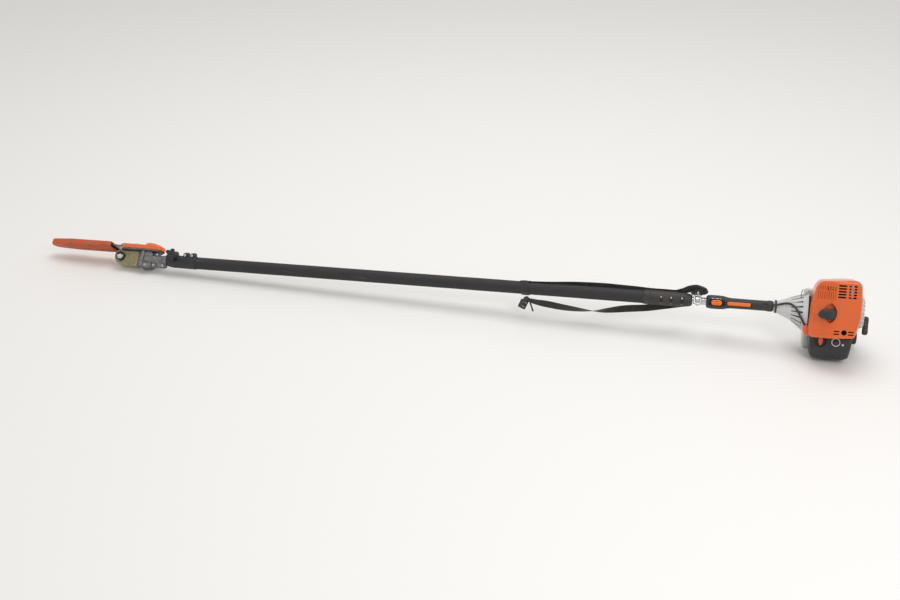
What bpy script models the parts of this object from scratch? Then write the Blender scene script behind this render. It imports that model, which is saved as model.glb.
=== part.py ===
"""Petrol telescoping pole saw, lying on its left side on the floor with its chain guard on.

Every size in this file is in millimetres, and MM turns it into Blender's metres. The pole lies along x. Two frames
share that axis: "pole" carries the engine, handle and outer tube, and "head" carries the cutting head, which is
clamped on its tube a little turned. In both, x runs from the saw's tip to the engine, y points to the operator's
right, and z points to the tool's top.
"""

from math import cos, pi, radians, sin, sqrt

import bmesh
import bpy
from mathutils import Matrix, Vector

MM = 0.001
GAP = 0.3  # clearance between two pieces that touch
ROUND = 20  # sides of a round piece

# How the saw lies: its length is centred on the origin and its lowest point is on the floor.
PITCH = radians(2.43)  # the pole climbs from the head to the bulkier engine
POLE_ROLL = radians(67.0)  # the tool's top leans over towards -Y
HEAD_ROLL = radians(44.5)
REST_X = -1504.9
REST_Y = 10.3
REST_HEIGHT = 26.6  # of the pole's axis, above the floor, where x is 0

# Driving dimensions of the pole, along x.
HOSE_R = 22.5
OUTER_TUBE_R = 18.0
OUTER_TUBE_WALL = 1.5
INNER_TUBE_R = 14.0
INNER_TUBE_WALL = 1.75
DRIVE_TUBE_R = 12.7
DRIVE_TUBE_WALL = 1.7
CLAMP_X = (504.0, 621.0)
HOSE_X = (621.5, 2280.5)
OUTER_TUBE_X = (548.0, 2330.0)
INNER_TUBE_X = (442.0, 2150.0)
JOINER_X = (2281.0, 2445.0)
DRIVE_TUBE_X = (2338.0, 2740.0)
DRIVE_SHAFT_X = (850.0, 2763.0)
DRIVE_SHAFT_R = 8.0
INNER_SHAFT_X = (421.0, 2250.0)
SQUARE_SHAFT = 8.8  # across flats of the head's shaft, which slides in the other's square bore

# The cutting head.
GEAR_X = 408.0  # the output shaft's axis
BAR_Y = 41.0
BAR_THICK = 2.0
CHAIN_THICK = 6.0
CHAIN_HEIGHT = 7.0
SPROCKET_R = 14.0
TRACK = [(31.0, 16.0), (175.0, 26.0), (GEAR_X, SPROCKET_R)]  # x and radius of the chain's guiding circles
GEAR_R = 16.0
PINION_R = 11.0

# The engine.
CYLINDER_X = 2870.0
CRANKCASE_R = 46.0
STARTER_R = 50.0
ROPE = (-36.0, -4.0)  # where the starter rope leaves its housing

scene_objects = list(bpy.data.objects)
for old in scene_objects:
    bpy.data.objects.remove(old)

parts = bpy.data.collections.new("telescoping_pole_saw")
cutters = bpy.data.collections.new("cutters")
for collection in (parts, cutters):
    bpy.context.scene.collection.children.link(collection)


def finish(name, colour, roughness, metallic=0.0, alpha=1.0):
    """A Principled material."""
    material = bpy.data.materials.new(name)
    material.use_nodes = True
    shader = material.node_tree.nodes["Principled BSDF"]
    shader.inputs["Base Color"].default_value = (*colour, 1.0)
    shader.inputs["Roughness"].default_value = roughness
    shader.inputs["Metallic"].default_value = metallic
    shader.inputs["Alpha"].default_value = alpha
    return material


ORANGE = finish("orange_plastic", (0.80, 0.16, 0.02), 0.35)
BLACK = finish("black_plastic", (0.022, 0.023, 0.026), 0.50)
RUBBER = finish("black_rubber", (0.030, 0.030, 0.033), 0.85)
HOUSING = finish("light_grey_housing", (0.60, 0.61, 0.64), 0.45)
CASTING = finish("grey_casting", (0.33, 0.33, 0.35), 0.45, 0.7)
ALUMINIUM = finish("bare_aluminium", (0.70, 0.71, 0.74), 0.30, 1.0)
STEEL = finish("steel", (0.55, 0.55, 0.56), 0.30, 1.0)
OIL_TANK = finish("olive_translucent_tank", (0.36, 0.34, 0.20), 0.30, 0.0, 0.9)
FUEL_TANK = finish("white_translucent_tank", (0.72, 0.76, 0.72), 0.35, 0.0, 0.9)
WEBBING = finish("black_webbing", (0.012, 0.012, 0.014), 0.90)
FOAM = finish("filter_foam", (0.10, 0.10, 0.09), 0.95)


def frame(name, location, rotation, parent=None):
    """An empty whose axes its children are drawn in."""
    empty = bpy.data.objects.new(name, None)
    parts.objects.link(empty)
    empty.parent = parent
    empty.matrix_basis = Matrix.Translation(Vector(location) * MM) @ rotation
    return empty


pole = frame(
    "pole",
    (REST_X, REST_Y, REST_HEIGHT),
    Matrix.Rotation(-PITCH, 4, "Y") @ Matrix.Rotation(POLE_ROLL, 4, "X"),
)
head = frame(
    "head",
    (REST_X, REST_Y, REST_HEIGHT),
    Matrix.Rotation(-PITCH, 4, "Y") @ Matrix.Rotation(HEAD_ROLL, 4, "X"),
)

ALONG = {  # turns a shape drawn along its own z to lie along a frame's axis
    "x": Matrix.Rotation(pi / 2, 4, "Y"),
    "y": Matrix.Rotation(-pi / 2, 4, "X"),
    "z": Matrix.Identity(4),
}


def place(mesh, name, material, parent, at=(0, 0, 0), turn=None):
    """Puts a mesh in a frame as a named part, or as a cutter where it has no material."""
    piece = bpy.data.objects.new(name, mesh)
    (parts if material else cutters).objects.link(piece)
    piece.parent = parent
    piece.matrix_basis = Matrix.Translation(Vector(at) * MM) @ (turn or Matrix())
    if material:
        mesh.materials.append(material)
    else:
        piece.hide_render = True
        piece.display_type = "WIRE"
    return piece


def mesh_of(bm, name):
    mesh = bpy.data.meshes.new(name)
    bm.to_mesh(mesh)
    bm.free()
    return mesh


def smooth(piece, angle=40):
    """Shades a round piece smooth across its shallow edges."""
    piece.data.shade_smooth()
    piece.data.set_sharp_from_angle(angle=radians(angle))
    return piece


def bevel(piece, width, segments=2, angle=35):
    """Rounds the sharp edges."""
    rounding = piece.modifiers.new("rounded_edges", "BEVEL")
    rounding.width = width * MM
    rounding.segments = segments
    rounding.limit_method = "ANGLE"
    rounding.angle_limit = radians(angle)
    return piece


def solidify(piece, wall):
    """Gives an open surface its wall, inwards."""
    shell = piece.modifiers.new("wall", "SOLIDIFY")
    shell.thickness = wall * MM
    shell.offset = -1.0
    return piece


def boolean(piece, others, operation="DIFFERENCE"):
    """Cuts, joins or intersects the piece with other meshes."""
    for other in others:
        step = piece.modifiers.new(operation.lower(), "BOOLEAN")
        step.operation = operation
        step.object = other
    return piece


def turned(name, profile, material, parent, axis="x", at=(0, 0, 0), steps=ROUND, turn=None):
    """A turned piece. The profile lists (place along the axis, radius) round its section."""
    area = sum(
        x0 * r1 - x1 * r0
        for (x0, r0), (x1, r1) in zip(profile, profile[1:] + profile[:1])
    )
    if area < 0:  # a Screw needs the outer side to run down the axis
        profile = profile[::-1]
    hollow = min(r for _, r in profile) > 0
    while not hollow and not (profile[0][1] == 0 and profile[-1][1] == 0):
        profile = profile[1:] + profile[:1]
    bm = bmesh.new()
    points = [bm.verts.new((r * MM, 0, x * MM)) for x, r in profile]
    pairs = zip(points, points[1:] + points[:1]) if hollow else zip(points, points[1:])
    for a, b in pairs:
        bm.edges.new((a, b))
    piece = place(mesh_of(bm, name), name, material, parent, at, turn or ALONG[axis])
    screw = piece.modifiers.new("turned", "SCREW")
    screw.steps = screw.render_steps = steps
    screw.use_merge_vertices = True
    screw.merge_threshold = 0.00001
    screw.use_smooth_shade = False
    return piece


def rod(name, start, length, radius, material, parent, axis="x", at=(0, 0), steps=16):
    """A plain round bar along an axis. "at" is its place on the other two axes."""
    bm = bmesh.new()
    bmesh.ops.create_cone(
        bm,
        cap_ends=True,
        segments=steps,
        radius1=radius * MM,
        radius2=radius * MM,
        depth=length * MM,
    )
    middle = start + length / 2
    where = {
        "x": (middle, at[0], at[1]),
        "y": (at[0], middle, at[1]),
        "z": (at[0], at[1], middle),
    }[axis]
    return place(mesh_of(bm, name), name, material, parent, where, ALONG[axis])


def block(name, x, y, z, material, parent, turn=None):
    """A box between two places on each axis."""
    bm = bmesh.new()
    bmesh.ops.create_cube(bm, size=1.0)
    size = [high - low for low, high in (x, y, z)]
    bmesh.ops.scale(bm, vec=Vector(size) * MM, verts=bm.verts)
    middle = [(low + high) / 2 for low, high in (x, y, z)]
    return place(mesh_of(bm, name), name, material, parent, middle, turn)


def plate(name, outline, span, material, parent, plane="xy", holes=()):
    """A flat outline given a thickness. The span is its two faces along the plane's normal."""
    curve = bpy.data.curves.new(name, "CURVE")
    curve.dimensions = "2D"
    curve.fill_mode = "BOTH"
    curve.extrude = (span[1] - span[0]) / 2 * MM
    for loop in (outline, *holes):
        spline = curve.splines.new("POLY")
        spline.points.add(len(loop) - 1)
        for point, (a, b) in zip(spline.points, loop):
            point.co = (a * MM, b * MM, 0, 1)
        spline.use_cyclic_u = True
    source = bpy.data.objects.new(name + "_outline", curve)
    cutters.objects.link(source)
    graph = bpy.context.evaluated_depsgraph_get()
    mesh = bpy.data.meshes.new_from_object(source.evaluated_get(graph))
    bpy.data.objects.remove(source)
    bm = bmesh.new()
    bm.from_mesh(mesh)
    bmesh.ops.remove_doubles(bm, verts=bm.verts, dist=0.00001)
    bmesh.ops.recalc_face_normals(bm, faces=bm.faces)
    bm.to_mesh(mesh)
    bm.free()
    mesh.materials.clear()
    middle = (span[0] + span[1]) / 2
    at, turn = {
        "xy": ((0, 0, middle), Matrix()),
        "xz": ((0, middle, 0), Matrix.Rotation(pi / 2, 4, "X")),
        "yz": ((middle, 0, 0), Matrix.Rotation(pi / 2, 4, "Z") @ Matrix.Rotation(pi / 2, 4, "X")),
    }[plane]
    return place(mesh, name, material, parent, at, turn)


def loft(name, stations, material, parent, closed=True):
    """A surface through sections, each a list of (x, y, z) with the same number of points."""
    bm = bmesh.new()
    rings = [[bm.verts.new(Vector(p) * MM) for p in section] for section in stations]
    for low, high in zip(rings, rings[1:]):
        for i, corner in enumerate(low):
            after = (i + 1) % len(low)
            bm.faces.new((corner, low[after], high[after], high[i]))
    if closed:
        bm.faces.new(rings[0])
        bm.faces.new(rings[-1])
    bmesh.ops.recalc_face_normals(bm, faces=bm.faces)
    return place(mesh_of(bm, name), name, material, parent)


def oval(x, centre, radii, power=2.0, count=ROUND):
    """A section across the pole: an ellipse, or a rounder rectangle at a higher power."""
    points = []
    for i in range(count):
        angle = 2 * pi * i / count
        a, b = cos(angle), sin(angle)
        y = centre[0] + radii[0] * abs(a) ** (2 / power) * (1 if a > 0 else -1)
        z = centre[1] + radii[1] * abs(b) ** (2 / power) * (1 if b > 0 else -1)
        points.append((x, y, z))
    return points


def circle(centre, radius, count=ROUND, start=0.0):
    """Points on a circle, as a plate's outline."""
    return [
        (
            centre[0] + radius * cos(start + 2 * pi * i / count),
            centre[1] + radius * sin(start + 2 * pi * i / count),
        )
        for i in range(count)
    ]


def star(centre, inner, outer, lobes):
    """The wavy outline of a star knob or a toothed wheel."""
    count = lobes * 4
    swing = (outer - inner) / 2
    return [
        (
            centre[0] + (inner + swing + swing * cos(2 * pi * lobes * i / count)) * cos(2 * pi * i / count),
            centre[1] + (inner + swing + swing * cos(2 * pi * lobes * i / count)) * sin(2 * pi * i / count),
        )
        for i in range(count)
    ]


def belt(circles, grow=0.0, count=16):
    """The outline of a belt pulled tight round circles given as (x, radius), centred on the x axis."""
    cloud = sorted(
        point for x, r in circles for point in circle((x, 0.0), r + grow, count)
    )

    def side(points):
        chain = []
        for p in points:
            while len(chain) > 1:
                (ax, ay), (bx, by) = chain[-2], chain[-1]
                if (bx - ax) * (p[1] - ay) - (by - ay) * (p[0] - ax) > 1e-9:
                    break
                chain.pop()
            chain.append(p)
        return chain[:-1]

    return side(cloud) + side(cloud[::-1])


def cut_behind(outline, x_end):
    """The part of a plate's convex outline in front of x_end, closed by a straight edge."""
    kept = []
    for (ax, ay), (bx, by) in zip(outline, outline[1:] + outline[:1]):
        if ax <= x_end:
            kept.append((ax, ay))
        if (ax - x_end) * (bx - x_end) < 0:
            share = (x_end - ax) / (bx - ax)
            kept.append((x_end, ay + share * (by - ay)))
    return kept


def tube(name, span, outer, inner, material, parent):
    """A plain round tube along the pole."""
    low, high = span
    profile = [(low, inner), (low, outer), (high, outer), (high, inner)]
    return smooth(turned(name, profile, material, parent))


def swept(name, route, radius, material, parent, resolution=2, cyclic=False):
    """A round bar or cord along points."""
    curve = bpy.data.curves.new(name, "CURVE")
    curve.dimensions = "3D"
    curve.bevel_depth = radius * MM
    curve.bevel_resolution = resolution
    curve.use_fill_caps = True
    spline = curve.splines.new("POLY")
    spline.points.add(len(route) - 1)
    for point, place_on in zip(spline.points, route):
        point.co = (*(Vector(place_on) * MM), 1)
    spline.use_cyclic_u = cyclic
    curve.materials.append(material)
    piece = bpy.data.objects.new(name, curve)
    parts.objects.link(piece)
    piece.parent = parent
    return piece


def through(points, share):
    """A place on the smooth Catmull-Rom curve through the points, at a share of its knots."""
    last = len(points) - 1
    place_on = min(share * last, last - 1e-9)
    i = int(place_on)
    t = place_on - i
    p = [Vector(points[min(max(i + k, 0), last)]) for k in (-1, 0, 1, 2)]
    return 0.5 * (
        2 * p[1]
        + (p[2] - p[0]) * t
        + (2 * p[0] - 5 * p[1] + 4 * p[2] - p[3]) * t**2
        + (3 * p[1] - p[0] - 3 * p[2] + p[3]) * t**3
    )


def ribbon(name, knots, width, thick, steps, material, parent):
    """A webbing strap. Each knot is its place and the direction of its width."""
    bm = bmesh.new()
    rows = []
    for i in range(steps + 1):
        centre = through([k[0] for k in knots], i / steps)
        across = through([k[1] for k in knots], i / steps).normalized() * width / 2
        rows.append([bm.verts.new((centre + side * across) * MM) for side in (-1, 1)])
    for (a, b), (c, d) in zip(rows, rows[1:]):
        bm.faces.new((a, b, d, c))
    piece = place(mesh_of(bm, name), name, material, parent)
    solidify(piece, thick).modifiers["wall"].offset = 0.0
    return piece


def build_telescope():
    """The fixed outer tube in its foam hose, the sliding inner tube, and what holds them."""
    tube(
        "outer_tube",
        OUTER_TUBE_X,
        OUTER_TUBE_R,
        OUTER_TUBE_R - OUTER_TUBE_WALL,
        ALUMINIUM,
        pole,
    )
    tube("foam_hose", HOSE_X, HOSE_R, OUTER_TUBE_R + GAP, RUBBER, pole)
    tube(
        "inner_tube",
        INNER_TUBE_X,
        INNER_TUBE_R,
        INNER_TUBE_R - INNER_TUBE_WALL,
        ALUMINIUM,
        head,
    )
    tube(
        "inner_tube_guide",
        (INNER_TUBE_X[1] - 40, INNER_TUBE_X[1] - 10),
        OUTER_TUBE_R - OUTER_TUBE_WALL - GAP,
        INNER_TUBE_R + GAP,
        BLACK,
        head,
    )
    tube(
        "drive_tube",
        DRIVE_TUBE_X,
        DRIVE_TUBE_R,
        DRIVE_TUBE_R - DRIVE_TUBE_WALL,
        ALUMINIUM,
        pole,
    )


def build_front_clamp():
    """The split clamp at the hose's front end, with its star knob and two screws."""
    lug_y, knob_x = 28.0, 530.0
    screws_x = (578.0, 606.0)
    low, high = CLAMP_X
    body = turned(
        "front_clamp",
        [
            (low, INNER_TUBE_R + 0.5),
            (low, 19.5),
            (low + 24, 23.5),
            (high - 4, 24.5),
            (high, 23.5),
            (high, OUTER_TUBE_R + GAP),
            (OUTER_TUBE_X[0] - GAP, OUTER_TUBE_R + GAP),
            (OUTER_TUBE_X[0] - GAP, INNER_TUBE_R + 0.5),
        ],
        BLACK,
        pole,
    )
    lugs = []
    for number, (x, radius) in enumerate([(knob_x, 10.0), (screws_x[0], 8.5), (screws_x[1], 8.5)]):
        outline = [(x - radius, 17.0)]
        outline += [
            (x - radius * cos(a), lug_y + radius * sin(a))
            for a in (pi * i / 8 for i in range(9))
        ]
        outline.append((x + radius, 17.0))
        lugs.append(plate(f"lug_{number}", outline, (-13.0, 13.0), None, pole))
    boolean(body, lugs, "UNION")
    bore = turned(
        "clamp_bore",
        [
            (low - 10, 0.0),
            (low - 10, INNER_TUBE_R + 0.5),
            (OUTER_TUBE_X[0] - GAP, INNER_TUBE_R + 0.5),
            (OUTER_TUBE_X[0] - GAP, OUTER_TUBE_R + GAP),
            (high + 10, OUTER_TUBE_R + GAP),
            (high + 10, 0.0),
        ],
        None,
        pole,
    )
    slit = block("clamp_slit", (low - 5, high + 5), (12.0, 50.0), (-1.0, 1.0), None, pole)
    holes = [
        rod(f"clamp_hole_{i}", -30, 60, 3.6, None, pole, "z", (x, lug_y), 12)
        for i, x in enumerate((knob_x, *screws_x))
    ]
    boolean(body, [bore, slit, *holes])
    knob = plate("star_knob", star((0, 0), 15.5, 24.5, 5), (-6.5, 6.5), BLACK, pole)
    boss = rod("knob_boss", 13.0 + GAP, 14.0, 6.0, None, pole, "z", (knob_x, lug_y), 16)
    stem = rod("knob_stem", -12.0, 30.0, 3.2, None, pole, "z", (knob_x, lug_y), 12)
    knob.location = Vector((knob_x, lug_y, 31.5)) * MM
    boolean(knob, [boss, stem], "UNION")


def build_joiner():
    """The moulded sleeve that joins the thick outer tube to the drive tube."""
    low, high = JOINER_X
    step = OUTER_TUBE_X[1] + GAP
    body = turned(
        "tube_joiner",
        [
            (low, OUTER_TUBE_R + GAP),
            (low, 24.0),
            (low + 4, 24.8),
            (high - 22, 24.0),
            (high - 3, 19.5),
            (high, 17.0),
            (high, DRIVE_TUBE_R + GAP),
            (step, DRIVE_TUBE_R + GAP),
            (step, OUTER_TUBE_R + GAP),
        ],
        BLACK,
        pole,
    )
    pockets = [
        block(f"pocket_{i}", (x - 4.5, x + 4.5), (-13.0, 13.0), (17.0, 40.0), None, pole)
        for i, x in enumerate((2343.0, 2376.0, 2412.0))
    ]
    boolean(body, pockets)


def build_drive():
    """The two shafts that carry the engine's turning to the head, one sliding in the other."""
    flat = SQUARE_SHAFT / 2
    square = [(-flat, -flat), (flat, -flat), (flat, flat), (-flat, flat)]
    wide = [(a * (flat + GAP) / flat, b * (flat + GAP) / flat) for a, b in square]
    plate(
        "drive_shaft",
        circle((0, 0), DRIVE_SHAFT_R, 20),
        DRIVE_SHAFT_X,
        STEEL,
        pole,
        "yz",
        holes=[wide[::-1]],
    )
    shaft = plate("head_shaft", square, INNER_SHAFT_X, STEEL, pole, "yz")
    pinion = [(417.0, 0.0), (417.0, 5.6), (424.0, 10.4), (426.0, 10.4), (430.0, 8.5), (430.0, 0.0)]
    boolean(shaft, [turned("bevel_pinion", pinion, None, pole, steps=20)], "UNION")


def cone_section(x):
    """(centre, radii) of the clutch housing's section at x, between the places that shape it."""
    shape = [
        (2710.0, (0.0, 0.0), (18.0, 18.0)),
        (2722.0, (-1.0, 0.0), (20.0, 20.0)),
        (2731.0, (-1.5, 1.0), (24.5, 24.0)),
        (2747.0, (-2.0, 3.0), (31.0, 30.0)),
        (2763.0, (-1.5, 6.0), (38.5, 37.0)),
        (2805.0, (-11.5, 10.0), (62.5, 54.0)),
        (2815.0, (-10.0, 10.5), (69.0, 57.5)),
    ]
    for (x0, c0, r0), (x1, c1, r1) in zip(shape, shape[1:]):
        if x <= x1:
            t = max(0.0, (x - x0) / (x1 - x0))
            blend = [[a + (b - a) * t for a, b in zip(p, q)] for p, q in ((c0, c1), (r0, r1))]
            return blend[0], blend[1]
    return shape[-1][1], shape[-1][2]


def build_clutch_housing():
    """The light grey cone between pole and engine, with its cooling slots and bearing."""
    wall = 3.0
    stations = (2710.0, 2722.0, 2731.0, 2747.0, 2763.0, 2784.0, 2805.0, 2815.0)
    cone = loft("clutch_housing", [oval(x, *cone_section(x), power=2.1) for x in stations], HOUSING, pole)
    inner = []
    for x in (2756.0, 2763.0, 2784.0, 2805.0, 2820.0):
        centre, radii = cone_section(x)
        inner.append(oval(x, centre, [r - wall for r in radii], power=2.1))
    room = loft("cone_room", inner, None, pole)
    bore = turned(
        "cone_bore",
        [
            (2700.0, 0.0),
            (2700.0, DRIVE_TUBE_R + GAP),
            (2741.0, DRIVE_TUBE_R + GAP),
            (2741.0, 15.7),
            (2760.0, 15.7),
            (2760.0, 0.0),
        ],
        None,
        pole,
    )
    slots = []
    for i in range(12):
        angle = radians(-76 + 18.5 * i if i < 9 else 130 + 50 * (i - 9))
        turn = Matrix.Rotation(-angle, 4, "X") @ Matrix.Rotation(radians(-33), 4, "Y")
        centre, radii = cone_section(2781.0)
        at = (2781.0, centre[0] + radii[0] * sin(angle), centre[1] + radii[1] * cos(angle))
        slot = block(f"cooling_slot_{i}", (-20, 22), (-2.2, 2.2), (-9, 9), None, pole)
        slot.matrix_basis = Matrix.Translation(Vector(at) * MM) @ turn
        slots.append(slot)
    boolean(cone, [room, bore, *slots])
    smooth(cone)


def build_clutch_and_crank():
    """The clutch drum on the drive shaft, and the flywheel, shoes and crankshaft that spin it."""
    smooth(
        turned(
            "clutch_drum",
            [
                (2756.0, DRIVE_SHAFT_R + GAP),
                (2756.0, 12.0),
                (2764.0, 12.0),
                (2764.0, 25.5),
                (2789.0, 25.5),
                (2789.0, 23.5),
                (2767.0, 23.5),
                (2767.0, DRIVE_SHAFT_R + GAP),
            ],
            STEEL,
            pole,
        )
    )
    shoes = turned(
        "clutch_shoes",
        [(2769.0, 6.3), (2769.0, 12.0), (2787.0, 12.0), (2787.0, 6.3)],
        STEEL,
        pole,
        steps=20,
    )
    for i in range(2):
        start = pi * i + radians(12)
        sweep = radians(156)
        arc = [(22.3 * cos(start + sweep * k / 10), 22.3 * sin(start + sweep * k / 10)) for k in range(11)]
        inner = [(10.0 * cos(start + sweep * k / 6), 10.0 * sin(start + sweep * k / 6)) for k in range(7)]
        boolean(shoes, [plate(f"shoe_{i}", arc + inner[::-1], (2771.0, 2786.0), None, pole, "yz")], "UNION")
    wheel = turned(
        "flywheel",
        [(2794.0, 6.3), (2794.0, 28.0), (2798.0, 34.5), (2808.0, 35.5), (2808.0, 6.3)],
        CASTING,
        pole,
    )
    fins = []
    for i in range(9):
        fin = block(f"fan_fin_{i}", (2791.5, 2799.0), (26.5, 33.5), (-1.2, 1.2), None, pole)
        angle = Matrix.Rotation(2 * pi * i / 9, 4, "X")
        fin.matrix_basis = angle @ fin.matrix_basis
        fins.append(fin)
    boolean(wheel, fins, "UNION")
    turned(
        "crankshaft",
        [
            (2768.0, 0.0),
            (2768.0, 6.0),
            (2854.0, 6.0),
            (2854.0, 27.0),
            (2866.0, 27.0),
            (2866.0, 6.0),
            (2947.0, 6.0),
            (2947.0, 0.0),
        ],
        STEEL,
        pole,
        steps=20,
    )


def build_engine():
    """Crankcase, cylinder, piston, and what bolts to them under the covers."""
    case = turned(
        "crankcase",
        [
            (2818.0, 8.0),
            (2818.0, 42.0),
            (2824.0, CRANKCASE_R),
            (2930.0, CRANKCASE_R),
            (2930.0, 40.0),
            (2900.0, 38.0),
            (2900.0, 8.0),
            (2888.0, 8.0),
            (2888.0, 31.0),
            (2838.0, 31.0),
            (2838.0, 8.0),
        ],
        CASTING,
        pole,
    )
    boolean(case, [rod("liner_hole", 10, 60, 20.0, None, pole, "z", (CYLINDER_X, 0), 20)])
    fins = []
    for i in range(4):
        z = 54.0 + 11.0 * i
        fins += [(z, 25.0), (z, 34.0), (z + 3.0, 34.0), (z + 3.0, 25.0)]
    turned(
        "cylinder",
        [(CRANKCASE_R + GAP, 19.3), (CRANKCASE_R + GAP, 25.0)]
        + fins
        + [(97.0, 25.0), (97.0, 0.0), (91.0, 0.0), (91.0, 19.3)],
        CASTING,
        pole,
        "z",
        (CYLINDER_X, 0, 0),
        steps=16,
    )
    piston = turned(
        "piston_and_rod",
        [(60.0, 0.0), (60.0, 10.0), (62.0, 18.9), (89.0, 18.9), (89.0, 0.0)],
        ALUMINIUM,
        pole,
        "z",
        (CYLINDER_X, 0, 0),
        steps=16,
    )
    boolean(
        piston,
        [block("rod_shank", (CYLINDER_X - 4, CYLINDER_X + 4), (-6, 6), (32, 64), None, pole)],
        "UNION",
    )
    turned(
        "spark_plug",
        [
            (97.0 + GAP, 0.0),
            (97.0 + GAP, 8.5),
            (105.0, 8.5),
            (105.0, 5.5),
            (122.0, 4.0),
            (122.0, 0.0),
        ],
        STEEL,
        pole,
        "z",
        (CYLINDER_X, 0, 0),
        steps=12,
    )
    boot = block("spark_plug_boot", (2845.0, 2880.0), (-11.0, 11.0), (118.5, 137.0), BLACK, pole)
    bevel(boot, 5.0, 2)
    cap = rod("boot_cap", 106.0, 32.0, 14.0, None, pole, "z", (CYLINDER_X, 0), 20)
    boolean(boot, [cap], "UNION")
    boolean(boot, [rod("boot_bore", 100, 25, 9.2, None, pole, "z", (CYLINDER_X, 0), 16)])
    bevel(block("muffler", (2852.0, 2934.0), (50.0, 93.0), (8.0, 88.0), STEEL, pole), 8.0)
    bevel(block("carburetor", (2872.0, 2910.0), (-71.0, -40.0), (20.0, 55.0), CASTING, pole), 3.0, 1)
    bevel(block("air_filter", (2852.0, 2932.0), (-112.0, -82.0), (-30.0, 36.0), FOAM, pole), 3.0, 1)
    lever = plate(
        "throttle_lever",
        [(-6, -7), (6, -7), (7, 0), (5, 8), (-14, 9), (-15, 5), (-6, 2)],
        (-1.5, 1.5),
        STEEL,
        pole,
    )
    lever.location = Vector((2884.0, -58.0, 57.2)) * MM


SHROUD = [  # the engine cover's outline, seen from the tool's top
    (2828, 62), (2833, 84), (2847, 101), (2925, 109), (2956, 108), (2969, 96), (2974, 47),
    (2974, -12), (2965, -50), (2957, -76), (2822, -84), (2818, -58), (2820, 19),
]
CROWN = [(2800, 0), (2800, 76), (2816, 86), (2890, 128), (2960, 121), (2990, 104), (2990, 0)]


def inset(outline, wall):
    """The outline moved inwards by a wall, each corner along its own bisector."""
    moved = []
    for before, here, after in zip(outline[-1:] + outline[:-1], outline, outline[1:] + outline[:1]):
        a = Vector((here[0] - before[0], here[1] - before[1])).normalized()
        b = Vector((after[0] - here[0], after[1] - here[1])).normalized()
        normal = Vector((a.y + b.y, -a.x - b.x)).normalized()
        reach = wall / max(0.3, normal.dot(Vector((a.y, -a.x))))
        moved.append((here[0] + normal.x * reach, here[1] + normal.y * reach))
    return moved


def build_shroud():
    """The orange engine cover: its outline cut to a crowned top, hollowed and vented."""
    rim = 4.0
    cover = plate("engine_shroud", SHROUD, (rim, 140.0), ORANGE, pole)
    crown = plate("shroud_crown", CROWN, (-130, 140), None, pole, "xz")
    room = plate("shroud_room", inset(SHROUD, 3.0), (rim - 10, 140.0), None, pole)
    low_crown = [(x, z - 3.5 if z else -20) for x, z in CROWN]
    room_top = plate("shroud_room_top", low_crown, (-130, 140), None, pole, "xz")
    boolean(room, [room_top], "INTERSECT")
    boolean(cover, [crown], "INTERSECT")
    boolean(cover, [room])
    cuts = [
        rod("crankcase_way", 2790, 230, STARTER_R + 2.0, None, pole, "x", (0, 0), ROUND),
        block("intake_way", (2838, 2945), (-100, -68), (-20, 62), None, pole),
        block("cable_way", (2800, 2835), (-76, -48), (46, 64), None, pole),
        rod("sight_hole", 60, 80, 8.5, None, pole, "z", (2924, -58), 16),
    ]
    recess = [(CYLINDER_X + 2 + 21 * cos(a) * abs(cos(a)), 34 * sin(a)) for a in
              (2 * pi * i / 16 for i in range(16))]
    cuts.append(plate("boot_recess", recess, (90, 160), None, pole))
    for row in range(5):
        y = 49.0 + 8.7 * row
        for column, x in enumerate((2896.5, 2928.5)):
            cuts.append(block(f"vent_{row}_{column}", (x, x + 25), (y - 2.5, y + 2.5), (95, 150), None, pole))
    for row in range(2):
        y = -55.0 - 9.0 * row
        for column, x in enumerate((2892.0, 2936.0)):
            cuts.append(
                block(f"low_vent_{row}_{column}", (x, x + 18), (y - 2.3, y + 2.3), (95, 150), None, pole)
            )
    boolean(cover, cuts)


def rounded(x, y, z, corner, count=5):
    """A rounded rectangle across y, for a loft that runs along y."""
    points = []
    for cx, cz, start in (
        (x[1] - corner, z[1] - corner, 0.0),
        (x[0] + corner, z[1] - corner, pi / 2),
        (x[0] + corner, z[0] + corner, pi),
        (x[1] - corner, z[0] + corner, 3 * pi / 2),
    ):
        for i in range(count):
            a = start + pi / 2 * i / (count - 1)
            points.append((cx + corner * cos(a), y, cz + corner * sin(a)))
    return points


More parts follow.
